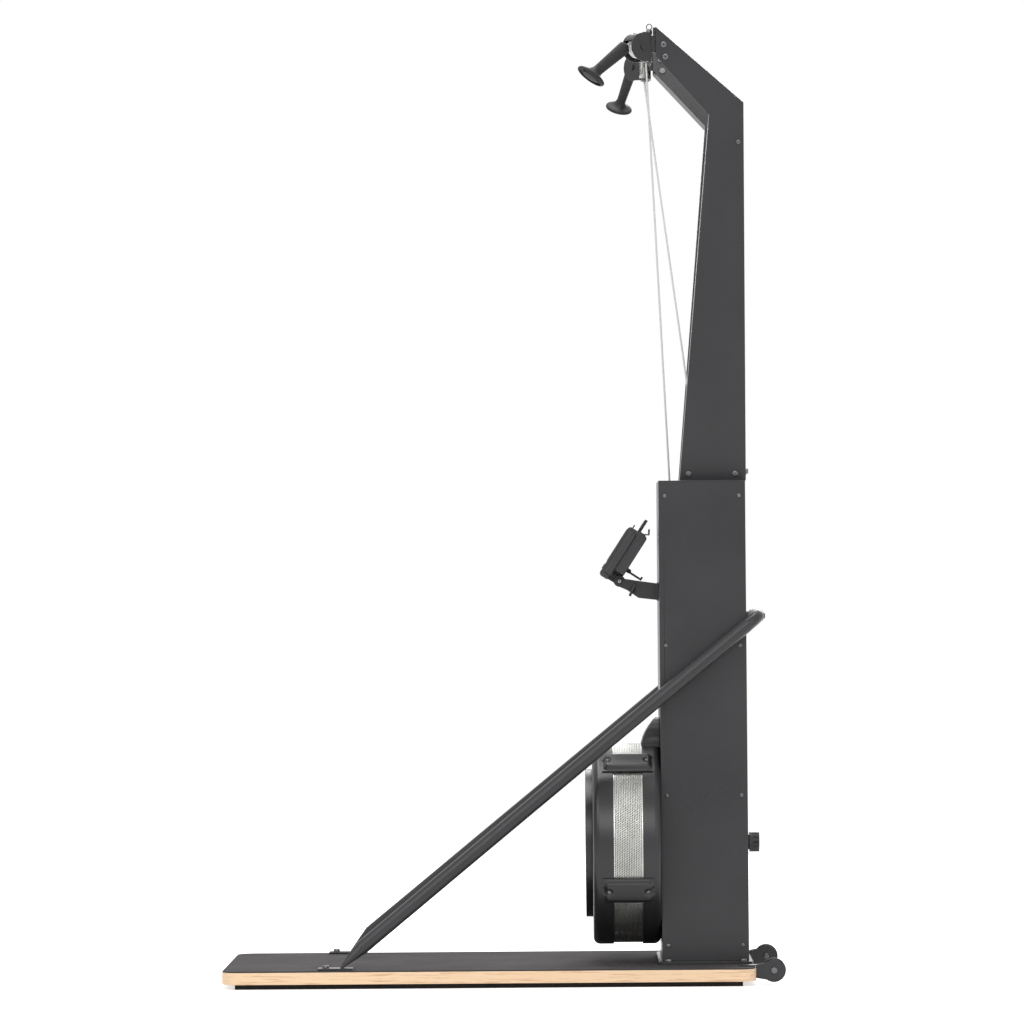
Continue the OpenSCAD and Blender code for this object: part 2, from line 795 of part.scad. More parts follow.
module inner_frame() {
    color("#55565a") difference() {
        union() {
            for (side = sides) on_side(side) {
                difference() {
                    translate([post_x0, post_y0, column_z])
                        cube([post_depth, post_w, column_h + post_rise]);
                    translate([post_x0 + post_wall, post_y0 + post_wall, column_z - cut])
                        cube([post_depth - 2 * post_wall, post_w - 2 * post_wall,
                            column_h + post_rise + 2 * cut]);
                }
                translate([front_plate_x, post_y1 - eps, column_z])
                    cube([post_x1 - front_plate_x, plate_t, drive_z + side_plate_h / 2 - column_z]);
            }
            for (x = [front_plate_x, rear_plate_x])
                translate([x, -post_y1 - eps, drive_z - side_plate_h / 2])
                    cube([plate_t, 2 * (post_y1 + eps), side_plate_h]);
        }
        for (x = [front_plate_x, rear_plate_x]) translate([0, 0, drive_z])
            along_x(x - cut, x + plate_t + cut, bearing_d / 2 + run_fit);
        stay_bolt_places() translate([0, 0, -stay_d - stay_gap - 24]) cylinder(d = bolt_d + 2 * fit, h = 34);
        for (side = sides) {
            arm_screw_places(side) translate([0, 0, -20]) cylinder(d = bolt_d - 2 + 2 * fit, h = 22);
            arm_rear_bolt_places(side) translate([0, 0, -24]) cylinder(d = bolt_d + 2 * fit, h = 26);
        }
    }
}

// Arm: a closed box section, open at the tip for the hinge bracket and at the foot for the post
module arm(side) {
    color(steel_black) difference() {
        arm_frame(side) difference() {
            translate([0, arm_t, 0]) rotate([90, 0, 0]) linear_extrude(arm_t) polygon(arm_profile);
            translate([0, arm_t - arm_wall, 0]) rotate([90, 0, 0]) linear_extrude(arm_t - 2 * arm_wall)
                polygon(inset(arm_profile, arm_walls));
        }
        translate([column_x0 - past, -past, column_top - past]) cube([3 * past, 2 * past, past]);
        tip_bolt_places(side) translate([0, 0, -arm_t - 2]) cylinder(d = bolt_d + 2 * fit, h = arm_t + 4);
        arm_screw_places(side) translate([0, 0, -8]) cylinder(d = bolt_d - 2 + 2 * fit, h = 10);
        arm_rear_bolt_places(side) translate([0, 0, -8]) cylinder(d = bolt_d + 2 * fit, h = 10);
        bend_screw_place(side) translate([0, 0, -8]) cylinder(d = screw_d + 2 * fit, h = 10);
    }
}

module right_arm() {
    arm(right);
}

module left_arm() {
    arm(left);
}

module bend_screw_place(side) {
    arm_frame(side) translate([arm_x1 - 14, arm_t, (arm_outer_h - 88) * lean_k])
        rotate([-90, 0, 0]) children();
}

// Bridges over the perforated band
module clamp_places() {
    for (side = sides, a = clamp_angles) on_side(side) translate([clamp_cx, 0, drive_z])
        rotate([a, 0, 0]) translate([0, fan_r, 0]) children();
}

module clamp_screw_places() {
    clamp_places() for (x = [-clamp_screw_out, clamp_screw_out]) translate([x, 12, 0])
        rotate([-90, 0, 0]) children();
}

module dial_screw_places() {
    for (z = [-27, 22]) translate([column_x1 + 3, 0, drive_z + z]) rotate([0, 90, 0]) children();
}

module case_screws() {
    color("#2f2f31") {
        for (side = sides) {
            side_screw_places(side) bolt(screw_d, screw_shank, 9, screw_head_h);
            bend_screw_place(side) bolt(screw_d, 6, 11, 3);
        }
        clamp_screw_places() bolt(screw_d, 10, 9, 2);
        dial_screw_places() bolt(4, 8, 7.5, 2);
        bracket_screw_places() bolt(screw_d, 10, 9, 3);
    }
}

// Folded plate inside the arm's tip, with a barrel for the swivel pin
module hinge_brackets() {
    h = arm_tip_face - 20;
    web_z0 = axle_z - 10;
    color(steel_black) for (side = sides) difference() {
        union() {
            arm_frame(side) translate([arm_tip_x, 0, (arm_tip_h - arm_tip_face + 6) * lean_k]) {
                for (y = [arm_wall + fit, arm_t - arm_wall - fit - 3]) translate([0, y, 0]) hinge_cheek(h);
                translate([0, arm_wall + fit, 0]) cube([3, arm_t - 2 * (arm_wall + fit), h]);
            }
            on_side(side) {
                translate([swivel_x, arm_tip_y, barrel_z0])
                    cylinder(r = barrel_r, h = barrel_z1 - barrel_z0);
                translate([swivel_x, arm_tip_y - 3, web_z0])
                    cube([swivel_out + 2, 6, barrel_z1 - 2 - web_z0]);
            }
        }
        on_side(side) translate([swivel_x, arm_tip_y, barrel_z0 - cut])
            cylinder(d = pin_d + 2 * run_fit, h = barrel_z1 - barrel_z0 + 2 * cut);
        tip_bolt_places(side) translate([0, 0, -arm_t - 2]) cylinder(d = bolt_d + 2 * fit, h = arm_t + 4);
    }
}

module hinge_cheek(h) {
    rotate([90, 0, 0]) translate([0, 0, -3]) linear_extrude(3)
        polygon([[0, 0], [14, -16], [34, -16], [34, 24], [8, h], [0, h]]);
}

// Swivel pin with a head and a pull ring above, and a spring clip below
module swivel_pins() {
    color(bare_steel) for (side = sides) on_side(side) translate([swivel_x, arm_tip_y, 0]) {
        translate([0, 0, pin_z0]) cylinder(d = pin_d, h = pin_z1 - pin_z0);
        translate([0, 0, axle_z + lug_top + fit]) cylinder(d = pin_d + 9, h = pin_head_h);
        translate([0, 0, pin_z1 + 4]) rotate([90, 0, 20]) rotate_extrude() translate([6.5, 0])
            circle(d = 2.5);
        translate([0, 0, axle_z - yoke_r - 4]) cylinder(d = pin_d + 5, h = 3.5);
    }
}

// Head frame: origin on the swivel axis at the axle's height, X forwards along the yoke
module head_frame(side) {
    h = side == right ? right_heading : left_heading;
    on_side(side) translate([swivel_x, arm_tip_y, axle_z]) rotate([0, 0, 180 - h]) children();
}

module lug_outline() {
    circle(r = barrel_r + 2);
    polygon([[0, -barrel_r - 2], [yoke_back, -yoke_w / 2], [yoke_back + 12, -yoke_w / 2],
        [yoke_back + 12, yoke_w / 2], [yoke_back, yoke_w / 2], [0, barrel_r + 2]]);
}

module yoke_plate_outline() {
    intersection() {
        union() {
            translate([axle_out, 0]) circle(r = yoke_r);
            translate([yoke_back, -yoke_low]) square([axle_out - yoke_back, yoke_low + lug_top]);
        }
        translate([yoke_back, -past / 2]) square([past, past]);
    }
}

module yoke(side) {
    color(steel_black) {
        head_frame(side) difference() {
            union() {
                for (y = [-yoke_inner, yoke_w / 2]) translate([0, y, 0]) rotate([90, 0, 0])
                    linear_extrude(yoke_t) yoke_plate_outline();
                translate([0, 0, lug_top - lug_t]) linear_extrude(lug_t) lug_outline();
                translate([0, 0, -yoke_low]) linear_extrude(lug_t) lug_outline();
                translate([axle_out, hood_w / 2, 0]) rotate([90, 0, 0]) rotate([0, 0, hood_end]) yoke_hood();
            }
            translate([0, 0, -yoke_r - cut])
                cylinder(d = pin_d + 2 * run_fit, h = yoke_r + lug_top + 2 * cut);
            translate([axle_out - cord_r, 0, -yoke_low - cut])
                cylinder(d = cord_d + 5, h = lug_t + 2 * cut);
            translate([axle_out, past / 2, 0]) rotate([90, 0, 0])
                cylinder(d = axle_d + 2 * run_fit, h = past);
        }
        head_frame(side) translate([axle_out, -yoke_w / 2 - run_fit, 0]) rotate([90, 0, 0]) {
            bolt(axle_d, yoke_w + 1, 14, 3);
            translate([0, 0, -yoke_w - 4 - 2 * run_fit]) cylinder(d = 13, h = 4);
        }
    }
}

// Curved strip between the plates, over the top of the pulley, a hair inside their rim
module yoke_hood() {
    rotate_extrude(angle = 125 - hood_end) translate([yoke_r - hood_t - 0.5, 0]) square([hood_t, hood_w]);
}

module right_yoke() {
    yoke(right);
}

module left_yoke() {
    yoke(left);
}

module pulley(side) {
    color(nylon_white) head_frame(side) translate([axle_out, 0, 0]) rotate([90, 0, 0])
        rotate_extrude() polygon([
            [axle_d / 2 + run_fit, -yoke_inner + fit], [9, -yoke_inner + fit], [9, -pulley_w / 2],
            [pulley_r, -pulley_w / 2], [pulley_r, -pulley_w / 2 + 1.5], [groove_r, -cord_d / 2 - 0.6],
            [groove_r, cord_d / 2 + 0.6], [pulley_r, pulley_w / 2 - 1.5], [pulley_r, pulley_w / 2],
            [9, pulley_w / 2], [9, yoke_inner - fit], [axle_d / 2 + run_fit, yoke_inner - fit]]);
}

module right_pulley() {
    pulley(right);
}

module left_pulley() {
    pulley(left);
}

// Handle frame: origin where the cord leaves the pulley, X along the handle
module handle_frame(side) {
    dip = side == right ? right_dip : left_dip;
    lean = side == right ? right_lean : left_lean;
    head_frame(side) translate([axle_out, 0, 0]) rotate([0, dip, 0]) translate([0, 0, cord_r])
        rotate([0, 0, -lean]) children();
}

// Half section of the grip: radius across, distance along
function grip_outline() = [
    [0, nose_s], [nose_r - 1.5, nose_s], [nose_r, nose_s + 2], [nose_r, neck_s],
    [grip_r - 1.5, shoulder_s - 4], [grip_r, shoulder_s], [waist_r, handle_end - 32],
    [waist_r + 1.5, handle_end - 24], [flange_r * 0.62, handle_end - 13],
    [flange_r * 0.7, handle_end - 8], [0, handle_end - 8]];

module handle(side) {
    color(rubber_black) handle_frame(side) difference() {
        union() {
            scale([1, grip_share, 1]) rotate([0, 90, 0]) rotate_extrude() polygon(grip_outline());
            translate([handle_end - flange_t / 2 - 3, 0, 0]) rotate([0, 90 + flange_slant, 0])
                scale([1, flange_share, 1]) handle_flange();
        }
        translate([nose_s - cut, 0, 0]) rotate([0, 90, 0])
            cylinder(r = handle_bore_r, h = handle_bore_end - nose_s + cut);
    }
}

// Disc with a rounded rim
module handle_flange() {
    rotate_extrude() {
        translate([0, -flange_t / 2]) square([flange_r - flange_t / 2, flange_t]);
        translate([flange_r - flange_t / 2, 0]) intersection() {
            circle(d = flange_t);
            translate([0, -flange_t]) square([flange_t, 2 * flange_t]);
        }
    }
}

module right_handle() {
    handle(right);
}

module left_handle() {
    handle(left);
}

// Where a side's cord comes down from its pulley, just under the yoke
function cord_head(side) = let (
    h = side == right ? right_heading : left_heading,
    reach = axle_out - cord_r)
    [swivel_x - reach * cos(h), side * (arm_tip_y + reach * sin(h)), axle_z - yoke_r - 2];

module cord(side, eyelet) {
    low = [eyelet[0], drum_cord_y, drive_z];
    color(nylon_white) {
        bar(cord_head(side), eyelet, cord_d);
        translate(eyelet) sphere(d = cord_d + 2 * bend_slip);
        bar(eyelet, low, cord_d);
    }
}

module right_cord() {
    cord(right, right_eyelet);
}

module left_cord() {
    cord(left, left_eyelet);
}

// The stretch that rises from below the yoke and bends over the pulley
module cord_wrap(side) {
    dip = side == right ? right_dip : left_dip;
    color(nylon_white) head_frame(side) translate([axle_out, 0, 0]) rotate([90, 0, 0]) {
        rotate([0, 0, 90 - dip]) rotate_extrude(angle = 90 + dip) translate([cord_r, 0])
            circle(d = cord_d - 2 * bend_slip);
        translate([-cord_r, bend_lap, 0]) rotate([90, 0, 0]) cylinder(d = cord_d, h = yoke_r + bend_lap);
    }
}

module right_cord_wrap() {
    cord_wrap(right);
}

module left_cord_wrap() {
    cord_wrap(left);
}

module cord_lead(side) {
    color(nylon_white) handle_frame(side) translate([1, 0, 0]) rotate([0, 90, 0])
        cylinder(d = cord_d, h = lead_l);
}

module right_cord_lead() {
    cord_lead(right);
}

module left_cord_lead() {
    cord_lead(left);
}

module drive_shaft() {
    color(bare_steel) translate([0, 0, drive_z]) along_x(shaft_x0, shaft_x1, shaft_d / 2);
}

module shaft_bearings() {
    color(bare_steel) translate([0, 0, drive_z])
        for (x = [front_plate_x - 1, rear_plate_x + plate_t - bearing_w])
            ring_x_axis(x, x + bearing_w, bearing_d / 2, shaft_d / 2 + run_fit);
}

module drum(cx) {
    color("#8a8d92") translate([0, 0, drive_z]) difference() {
        union() {
            along_x(cx - drum_w / 2, cx + drum_w / 2, drum_r);
            for (x = [cx - drum_w / 2, cx + drum_w / 2 - 2]) along_x(x, x + 2, drum_flange_r);
            along_x(cx + drum_w / 2 - eps, cx + drum_w / 2 + recoil_w - 2, shaft_d / 2 + 4);
        }
        along_x(cx - drum_w, cx + drum_w + recoil_w, shaft_d / 2 + run_fit);
    }
}

module right_drum() {
    drum(right_drum_cx);
}

module left_drum() {
    drum(left_drum_cx);
}

// Flat cases behind the drums, each with a lug against either post
module recoil_cases() {
    color(plastic_black) for (cx = [right_drum_cx, left_drum_cx]) {
        x0 = cx + drum_w / 2 + 2;
        translate([0, 0, drive_z]) difference() {
            union() {
                along_x(x0, x0 + recoil_w, recoil_r);
                translate([max(x0, post_x0) + 1, -post_y0 + fit, -8])
                    cube([x0 + recoil_w - max(x0, post_x0) - 1, post_gap - 2 * fit, 16]);
            }
            along_x(x0 + 2, x0 + recoil_w - 2, recoil_r - 3);
            along_x(x0 - cut, x0 + recoil_w - 2 + eps, shaft_d / 2 + 4.5);
            along_x(x0, x0 + recoil_w + cut, shaft_d / 2 + 1);
        }
    }
}

// Flat spiral springs inside the cases
function spiral(offset) = [for (i = [0:20 * spring_turns])
    let (a = i * 18, r = spring_r0 + offset + spring_pitch * i / 20) r * [cos(a), sin(a)]];

module recoil_springs() {
    inner = spiral(0);
    outer = spiral(spring_t);
    outline = concat(inner, [for (i = [len(outer) - 1:-1:0]) outer[i]]);
    color(bare_steel) for (cx = [right_drum_cx, left_drum_cx])
        translate([cx + drum_w / 2 + 5, 0, drive_z]) rotate([90, 0, 90])
            linear_extrude(recoil_w - 6) polygon(outline);
}

module fan_wheel() {
    hub_x0 = shaft_x0;
    hub_x1 = band_x1 + 14;
    color(plastic_black) translate([0, 0, drive_z]) difference() {
        union() {
            along_x(hub_x0, hub_x1, 34);
            along_x(hub_x1 - 4, hub_x1 - 1, blade_r);
            for (i = [0:blades - 1]) rotate([i * 360 / blades, 0, 0])
                translate([hub_x0 + 12, -1, 32]) cube([hub_x1 - hub_x0 - 14, 2, blade_r - 33]);
        }
        along_x(hub_x0 - cut, hub_x1 + cut, shaft_d / 2);
    }
}

// Half section of a shell: radius across, X station up
module shell_section(l) {
    difference() {
        union() {
            square([fan_r - shell_round, l]);
            translate([0, shell_round]) square([fan_r, l - shell_round]);
            translate([fan_r - shell_round, shell_round]) circle(r = shell_round);
        }
        translate([-cut, shell_t]) square([fan_r - shell_round + cut, l]);
        translate([-cut, shell_round]) square([fan_r - shell_t + cut, l]);
        translate([fan_r - shell_round, shell_round]) circle(r = shell_round - shell_t);
        translate([-past, -cut]) square([past, l + 2 * cut]);
    }
}

module fan_front_shell() {
    color(plastic_black) translate([fan_x0, 0, drive_z]) difference() {
        union() {
            rotate([90, 0, 90]) rotate_extrude($fn = 180) shell_section(front_shell_l);
            along_x(shell_t - eps, shell_t + 6, hub_r);
        }
        for (i = [0:5]) rotate([i * 60, 0, 0]) intake_window(-cut, shell_t + cut, 16);
    }
}

// Opening between two spokes, from the hub to the intake's radius
module intake_window(x0, x1, half_angle) {
    translate([x0, 0, 0]) rotate([90, 0, 90]) linear_extrude(x1 - x0) intersection() {
        difference() {
            circle(r = intake_hole_r - 5);
            circle(r = hub_r + 12);
        }
        polygon(past * [[0, 0], [cos(half_angle), -sin(half_angle)], [cos(half_angle), sin(half_angle)]]);
    }
}

module fan_rear_shell() {
    color(plastic_black) difference() {
        union() {
            translate([fan_x1, 0, drive_z]) rotate([90, 0, -90]) rotate_extrude($fn = 180)
                shell_section(rear_shell_l);
            difference() {
                fairing(0);
                fairing(shell_t);
                translate([0, 0, drive_z]) along_x(band_x1 - cut, fan_x1 + cut, fan_r - shell_t, $fn = 180);
            }
        }
        translate([0, 0, drive_z]) along_x(fan_x1 - 10, fan_x1 + cut, shaft_d / 2 + 6);
        translate([0, 0, cable_z]) along_x(fan_x1 - 10, fan_x1 + cut, cable_d / 2 + fit);
    }
}

// Arched fairing that slopes forward from the column; t is the wall taken off
module fairing(t) {
    top = drive_z + fan_r + fairing_rise;
    outline = concat([[-rear_shell_l, -fairing_low], [0, -fairing_low]],
        [for (c = fairing_curve) [-c[0] * rear_shell_l, -c[1] * fairing_drop]]);
    walls = concat([-cut], [for (i = [1:len(outline) - 1]) t]);
    intersection() {
        translate([0, 0, top - fairing_r]) union() {
            along_x(band_x1, fan_x1 - t, fairing_r - t);
            translate([band_x1, t - fairing_r, -fairing_r])
                cube([rear_shell_l - t, 2 * (fairing_r - t), fairing_r]);
        }
        translate([fan_x1, past / 2, top]) rotate([90, 0, 0]) linear_extrude(past)
            polygon(inset(outline, walls));
    }
}

module fan_band() {
    color(bare_steel) translate([0, 0, drive_z])
        ring_x_axis(band_x0 - 6, band_x1 + 6, fan_r - shell_t - fit, fan_r - shell_t - fit - 1.5, $fn = 180);
}

module shell_clamps() {
    color(plastic_black) difference() {
        clamp_places() translate([-clamp_l / 2, -4, -clamp_w / 2]) cube([clamp_l, 16, clamp_w]);
        translate([0, 0, drive_z]) along_x(fan_x0 - 50, fan_x1 + cut, fan_r + fit, $fn = 360);
        clamp_screw_places() translate([0, 0, -20]) cylinder(d = screw_d + 2 * fit, h = 21);
    }
}

// Ring with concentric rings and spokes in front of the intake
module intake_grille() {
    color(plastic_black) translate([0, 0, drive_z]) {
        ring_x_axis(intake_x0, fan_x0, intake_r, intake_r - 6);
        for (r = [60:20:intake_r - 10]) ring_x_axis(intake_x0 + 2, intake_x0 + 5, r, r - 3);
        for (i = [0:7]) rotate([i * 45, 0, 0]) translate([intake_x0 + 2, -1.5, 40])
            cube([3, 3, intake_r - 43]);
        along_x(intake_x0 + 1, intake_x0 + 6, 42);
    }
}

module damper_ring() {
    color("#4a4b4e") translate([0, 0, drive_z]) difference() {
        union() {
            along_x(ring_x, ring_x + 2, intake_hole_r);
            translate([ring_x, -8, -intake_hole_r - 16]) cube([2, 16, 30]);
        }
        along_x(ring_x - cut, ring_x + 2 + cut, hub_r + run_fit);
        for (i = [0:5]) rotate([i * 60, 0, 0]) intake_window(ring_x - cut, ring_x + 2 + cut, 16);
    }
}

module damper_knob() {
    color(plastic_black) translate([0, 0, drive_z]) {
        along_x(column_x1 - 12, column_x1 + 8, knob_pin_r);
        difference() {
            along_x(column_x1 + 7, column_x1 + 7 + knob_l, knob_d / 2);
            for (i = [0:11]) rotate([i * 30 + 15, 0, 0]) translate([0, 0, knob_d / 2 + 1])
                along_x(column_x1 + 10, column_x1 + 8 + knob_l, 3);
        }
    }
}

module dial_plate() {
    color(bare_steel) difference() {
        translate([column_x1, -26, drive_z - 35]) cube([3, 52, 62]);
        translate([0, 0, drive_z]) along_x(column_x1 - cut, column_x1 + 4, knob_pin_r + run_fit);
        dial_screw_places() translate([0, 0, -5]) cylinder(d = 4 + 2 * fit, h = 6);
    }
}

module cable_route(d) {
    for (i = [1:len(cable_points) - 1]) {
        bar(cable_points[i - 1], cable_points[i], d);
        if (i > 1) translate(cable_points[i - 1]) sphere(d = d + 4 * bend_slip);
    }
}

module damper_cable() {
    color(plastic_black) cable_route(cable_d);
}

// Bracket outline, seen along Y: from the column's face to the pivot
module cheek_outline() {
    x = column_x0 - cheek_t;
    translate([pivot_x, pivot_z]) circle(r = cheek_r);
    polygon([[pivot_x, pivot_z - cheek_r], [pivot_x + 18, pivot_z - cheek_r - 8],
        [pivot_x + 44, pivot_z - cheek_r - 26], [x, pivot_z - 44], [x, pivot_z - 6], [pivot_x + 44, pivot_z],
        [pivot_x + 12, pivot_z + 5], [pivot_x, pivot_z + cheek_r]]);
}

module monitor_bracket() {
    color(steel_black) {
        difference() {
            union() {
                for (y = [-cheek_gap / 2, cheek_gap / 2 + cheek_t]) translate([0, y, 0]) rotate([90, 0, 0])
                    linear_extrude(cheek_t) cheek_outline();
                translate([column_x0 - cheek_t, -cheek_gap / 2 - 12, pivot_z - 46])
                    cube([cheek_t, cheek_gap + 24, 42]);
            }
            translate([pivot_x, cheek_gap, pivot_z]) rotate([90, 0, 0])
                cylinder(d = pivot_d + 2 * run_fit, h = 2 * cheek_gap);
            translate([wing_x, 0, wing_z]) rotate([90, 0, 0])
                cylinder(d = wing_d + 2 * run_fit, h = cheek_gap);
            bracket_screw_places() panel_hole(screw_d);
        }
        translate([pivot_x, -cheek_gap / 2 - cheek_t, pivot_z]) rotate([90, 0, 0]) {
            bolt(pivot_d, cheek_gap + 2 * cheek_t + 1, 14, 5);
            translate([0, 0, -cheek_gap - 2 * cheek_t - 6]) cylinder(d = 13, h = 6);
        }
    }
}

// Monitor frame: origin at the lower front edge, X through the case to its back, Z up its face
module monitor_frame() {
    translate([pivot_x, 0, pivot_z]) rotate([0, monitor_lean, 0]) translate([-pivot_in, 0, -pivot_h])
        children();
}

module monitor_outline(r) {
    translate([monitor_t / 2, monitor_h / 2]) rounded_plate(monitor_t, monitor_h, r);
}

module monitor_case() {
    cavity_w = monitor_w - 2 * case_wall;
    color(plastic_black) monitor_frame() {
        difference() {
            union() {
                difference() {
                    translate([0, monitor_w / 2, 0]) rotate([90, 0, 0]) linear_extrude(monitor_w)
                        monitor_outline(8);
                    translate([case_wall, -cavity_w / 2, notch_h + case_wall])
                        cube([monitor_t - 2 * case_wall, cavity_w, monitor_h - notch_h - 2 * case_wall]);
                    translate([case_wall, -cavity_w / 2, case_wall + 5])
                        cube([monitor_t - notch_in - 2 * case_wall, cavity_w, monitor_h / 2]);
                    translate([monitor_t - notch_in, -past / 2, -cut])
                        cube([notch_in + cut, past, notch_h + cut]);
                }
                translate([pivot_in, cheek_gap / 2 - fit, pivot_h]) rotate([90, 0, 0])
                    cylinder(r = boss_r, h = cheek_gap - 2 * fit);
                translate([monitor_t - notch_in - 2, -cheek_gap / 2 + fit, 2])
                    cube([notch_in - 2, cheek_gap - 2 * fit, 19]);
                translate([8, -8, monitor_h - 1]) cube([3, 16, 11]);
                for (y = [-clip_w / 2 - 4 - fit, clip_w / 2 + fit]) translate([0, y, clip_z]) clip_ear();
            }
            translate([clip_x, cheek_gap, clip_z]) rotate([90, 0, 0])
                cylinder(d = clip_pin_d + 2 * run_fit, h = 2 * cheek_gap);
            translate([24 - fit, -15 - fit, monitor_h - 5]) cube([5 + 2 * fit, 30 + 2 * fit, 6]);
            translate([pivot_in, cheek_gap, pivot_h]) rotate([90, 0, 0])
                cylinder(d = pivot_d + 2 * run_fit, h = 2 * cheek_gap);
            translate([-cut, -screen_w / 2, screen_z0])
                cube([case_wall + 2 * cut, screen_w, screen_z1 - screen_z0]);
            for (i = [-1:1]) translate([-cut, i * button_pitch, button_z]) rotate([0, 90, 0])
                cylinder(d = button_d + 2 * fit, h = case_wall + 3);
        }
    }
}

// Ear for the lower clip, on the back of the case
module clip_ear() {
    translate([clip_x, 4, 0]) rotate([90, 0, 0]) cylinder(r = 5, h = 4);
    translate([monitor_t - 1, 0, -5]) cube([clip_x - monitor_t + 1, 4, 10]);
}

module monitor_screen() {
    color("#10181c") monitor_frame() {
        translate([1, -screen_w / 2 + fit, screen_z0 + fit])
            cube([case_wall - 1, screen_w - 2 * fit, screen_z1 - screen_z0 - 2 * fit]);
        translate([case_wall, -screen_w / 2 - 4, screen_z0 - 4])
            cube([2, screen_w + 8, screen_z1 - screen_z0 + 8]);
    }
}

module button(i) {
    color("#7d8085") monitor_frame() translate([0, i * button_pitch, button_z]) rotate([0, 90, 0]) {
        translate([0, 0, -button_travel - 0.5])
            cylinder(d = button_d, h = case_wall + button_travel + 0.5 + fit + eps);
        translate([0, 0, case_wall + fit]) cylinder(d = button_d + 3, h = 1.5);
    }
}

module right_button() {
    button(-1);
}

module middle_button() {
    button(0);
}

module left_button() {
    button(1);
}

module wing_screw() {
    color(plastic_black) translate([wing_x, -cheek_gap / 2 - cheek_t - fit, wing_z]) rotate([90, 0, 0]) {
        translate([0, 0, -cheek_t - 8]) cylinder(d = wing_d, h = cheek_t + 10);
        cylinder(d = 12, h = 6);
        rotate([0, 0, -24]) translate([-3, -15, 1]) cube([6, 30, 13]);
    }
}

// Ribbed arm that stands above the case, with a hook behind it
module upper_clip() {
    color(plastic_black) monitor_frame() {
        translate([24, -15, monitor_h - 35]) cube([5, 30, 36 + fit]);
        translate([23, -clip_w / 2, monitor_h + fit]) cube([7, clip_w, 33]);
        translate([23, -clip_w / 2, monitor_h + fit]) cube([20, clip_w, 3]);
        translate([38, -clip_w / 2, monitor_h + fit]) rotate([0, -30, 0]) {
            cube([15, clip_w, 2.5]);
            translate([11.5, 0, 0]) cube([3.5, clip_w, 14]);
        }
    }
}

module lower_clip() {
    color(plastic_black) monitor_frame() translate([clip_x, 0, clip_z]) {
        translate([0, clip_w / 2, 0]) rotate([90, 0, 0]) cylinder(r = 4, h = clip_w);
        translate([0, clip_w / 2 + 4, 0]) rotate([90, 0, 0]) cylinder(d = clip_pin_d, h = clip_w + 8);
        translate([0, -clip_w / 2, -4]) cube([35, clip_w, 4.5]);
        translate([31, -clip_w / 2, -4]) cube([4, clip_w, 9]);
    }
}

board();
board_mat();
board_runners();
base_plate();
frame_bolts();
stay_tube();
stay_mounts();
wheel_brackets();
wheel_axles();
right_wheel();
left_wheel();
right_side_panel();
left_side_panel();
front_panel();
rear_panel();
top_cover();
case_screws();
inner_frame();
right_arm();
left_arm();
hinge_brackets();
swivel_pins();
right_yoke();
left_yoke();
right_pulley();
left_pulley();
right_handle();
left_handle();
right_cord();
left_cord();
right_cord_wrap();
left_cord_wrap();
right_cord_lead();
left_cord_lead();
cord_eyelets();
drive_shaft();
shaft_bearings();
right_drum();
left_drum();
recoil_cases();
recoil_springs();
fan_wheel();
fan_front_shell();
fan_rear_shell();
fan_band();
shell_clamps();
intake_grille();
damper_ring();
damper_knob();
dial_plate();
damper_cable();
monitor_bracket();
monitor_case();
monitor_screen();
right_button();
middle_button();
left_button();
wing_screw();
upper_clip();
lower_clip();
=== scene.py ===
import json
import math
import bmesh
import bpy
from mathutils import Matrix, Vector

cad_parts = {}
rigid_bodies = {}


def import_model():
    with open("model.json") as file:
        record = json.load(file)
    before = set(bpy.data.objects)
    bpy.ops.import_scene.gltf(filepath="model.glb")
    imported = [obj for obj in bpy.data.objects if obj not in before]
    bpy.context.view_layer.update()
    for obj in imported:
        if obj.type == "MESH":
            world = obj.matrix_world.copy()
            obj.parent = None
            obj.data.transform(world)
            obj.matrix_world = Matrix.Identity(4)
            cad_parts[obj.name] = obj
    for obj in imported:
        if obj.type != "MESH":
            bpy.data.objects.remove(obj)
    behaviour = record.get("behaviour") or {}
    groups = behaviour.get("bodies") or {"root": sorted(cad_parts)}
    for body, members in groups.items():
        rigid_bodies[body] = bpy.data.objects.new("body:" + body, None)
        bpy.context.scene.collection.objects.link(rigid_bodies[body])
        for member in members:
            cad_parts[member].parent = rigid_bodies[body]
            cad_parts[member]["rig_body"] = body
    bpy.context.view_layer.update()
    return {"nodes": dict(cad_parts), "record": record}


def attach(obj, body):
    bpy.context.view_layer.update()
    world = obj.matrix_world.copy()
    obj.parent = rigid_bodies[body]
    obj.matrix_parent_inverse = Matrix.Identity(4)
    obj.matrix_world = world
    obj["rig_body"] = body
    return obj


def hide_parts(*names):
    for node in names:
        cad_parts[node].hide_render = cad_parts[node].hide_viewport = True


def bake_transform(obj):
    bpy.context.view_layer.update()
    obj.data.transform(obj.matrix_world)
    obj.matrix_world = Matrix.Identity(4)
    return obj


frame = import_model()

nodes = frame["nodes"]
slotOf = {part["node"]: part["material_slot"] for part in frame["record"]["subparts"]}


# Pieces are sized and placed in millimetres; camera, lamps, floor and textures are in metres
def mm(*values):
    return Vector([value / 1000 for value in values])


def turn(degrees, axis):
    return Matrix.Rotation(math.radians(degrees), 4, axis)


def shift(x, y, z):
    return Matrix.Translation(mm(x, y, z))


# 1 for the left, the far side, and -1 for its mirror image on the right
def sideMatrix(side):
    return Matrix.Diagonal((1, side, 1, 1))


# sRGB 0-255 to the linear colour that a socket holds
def tint(red, green, blue):
    def linear(value):
        value /= 255
        return value / 12.92 if value <= 0.04045 else ((value + 0.055) / 1.055) ** 2.4
    return (linear(red), linear(green), linear(blue), 1.0)


def newObject(name, data):
    made = bpy.data.objects.new(name, data)
    bpy.context.scene.collection.objects.link(made)
    return made


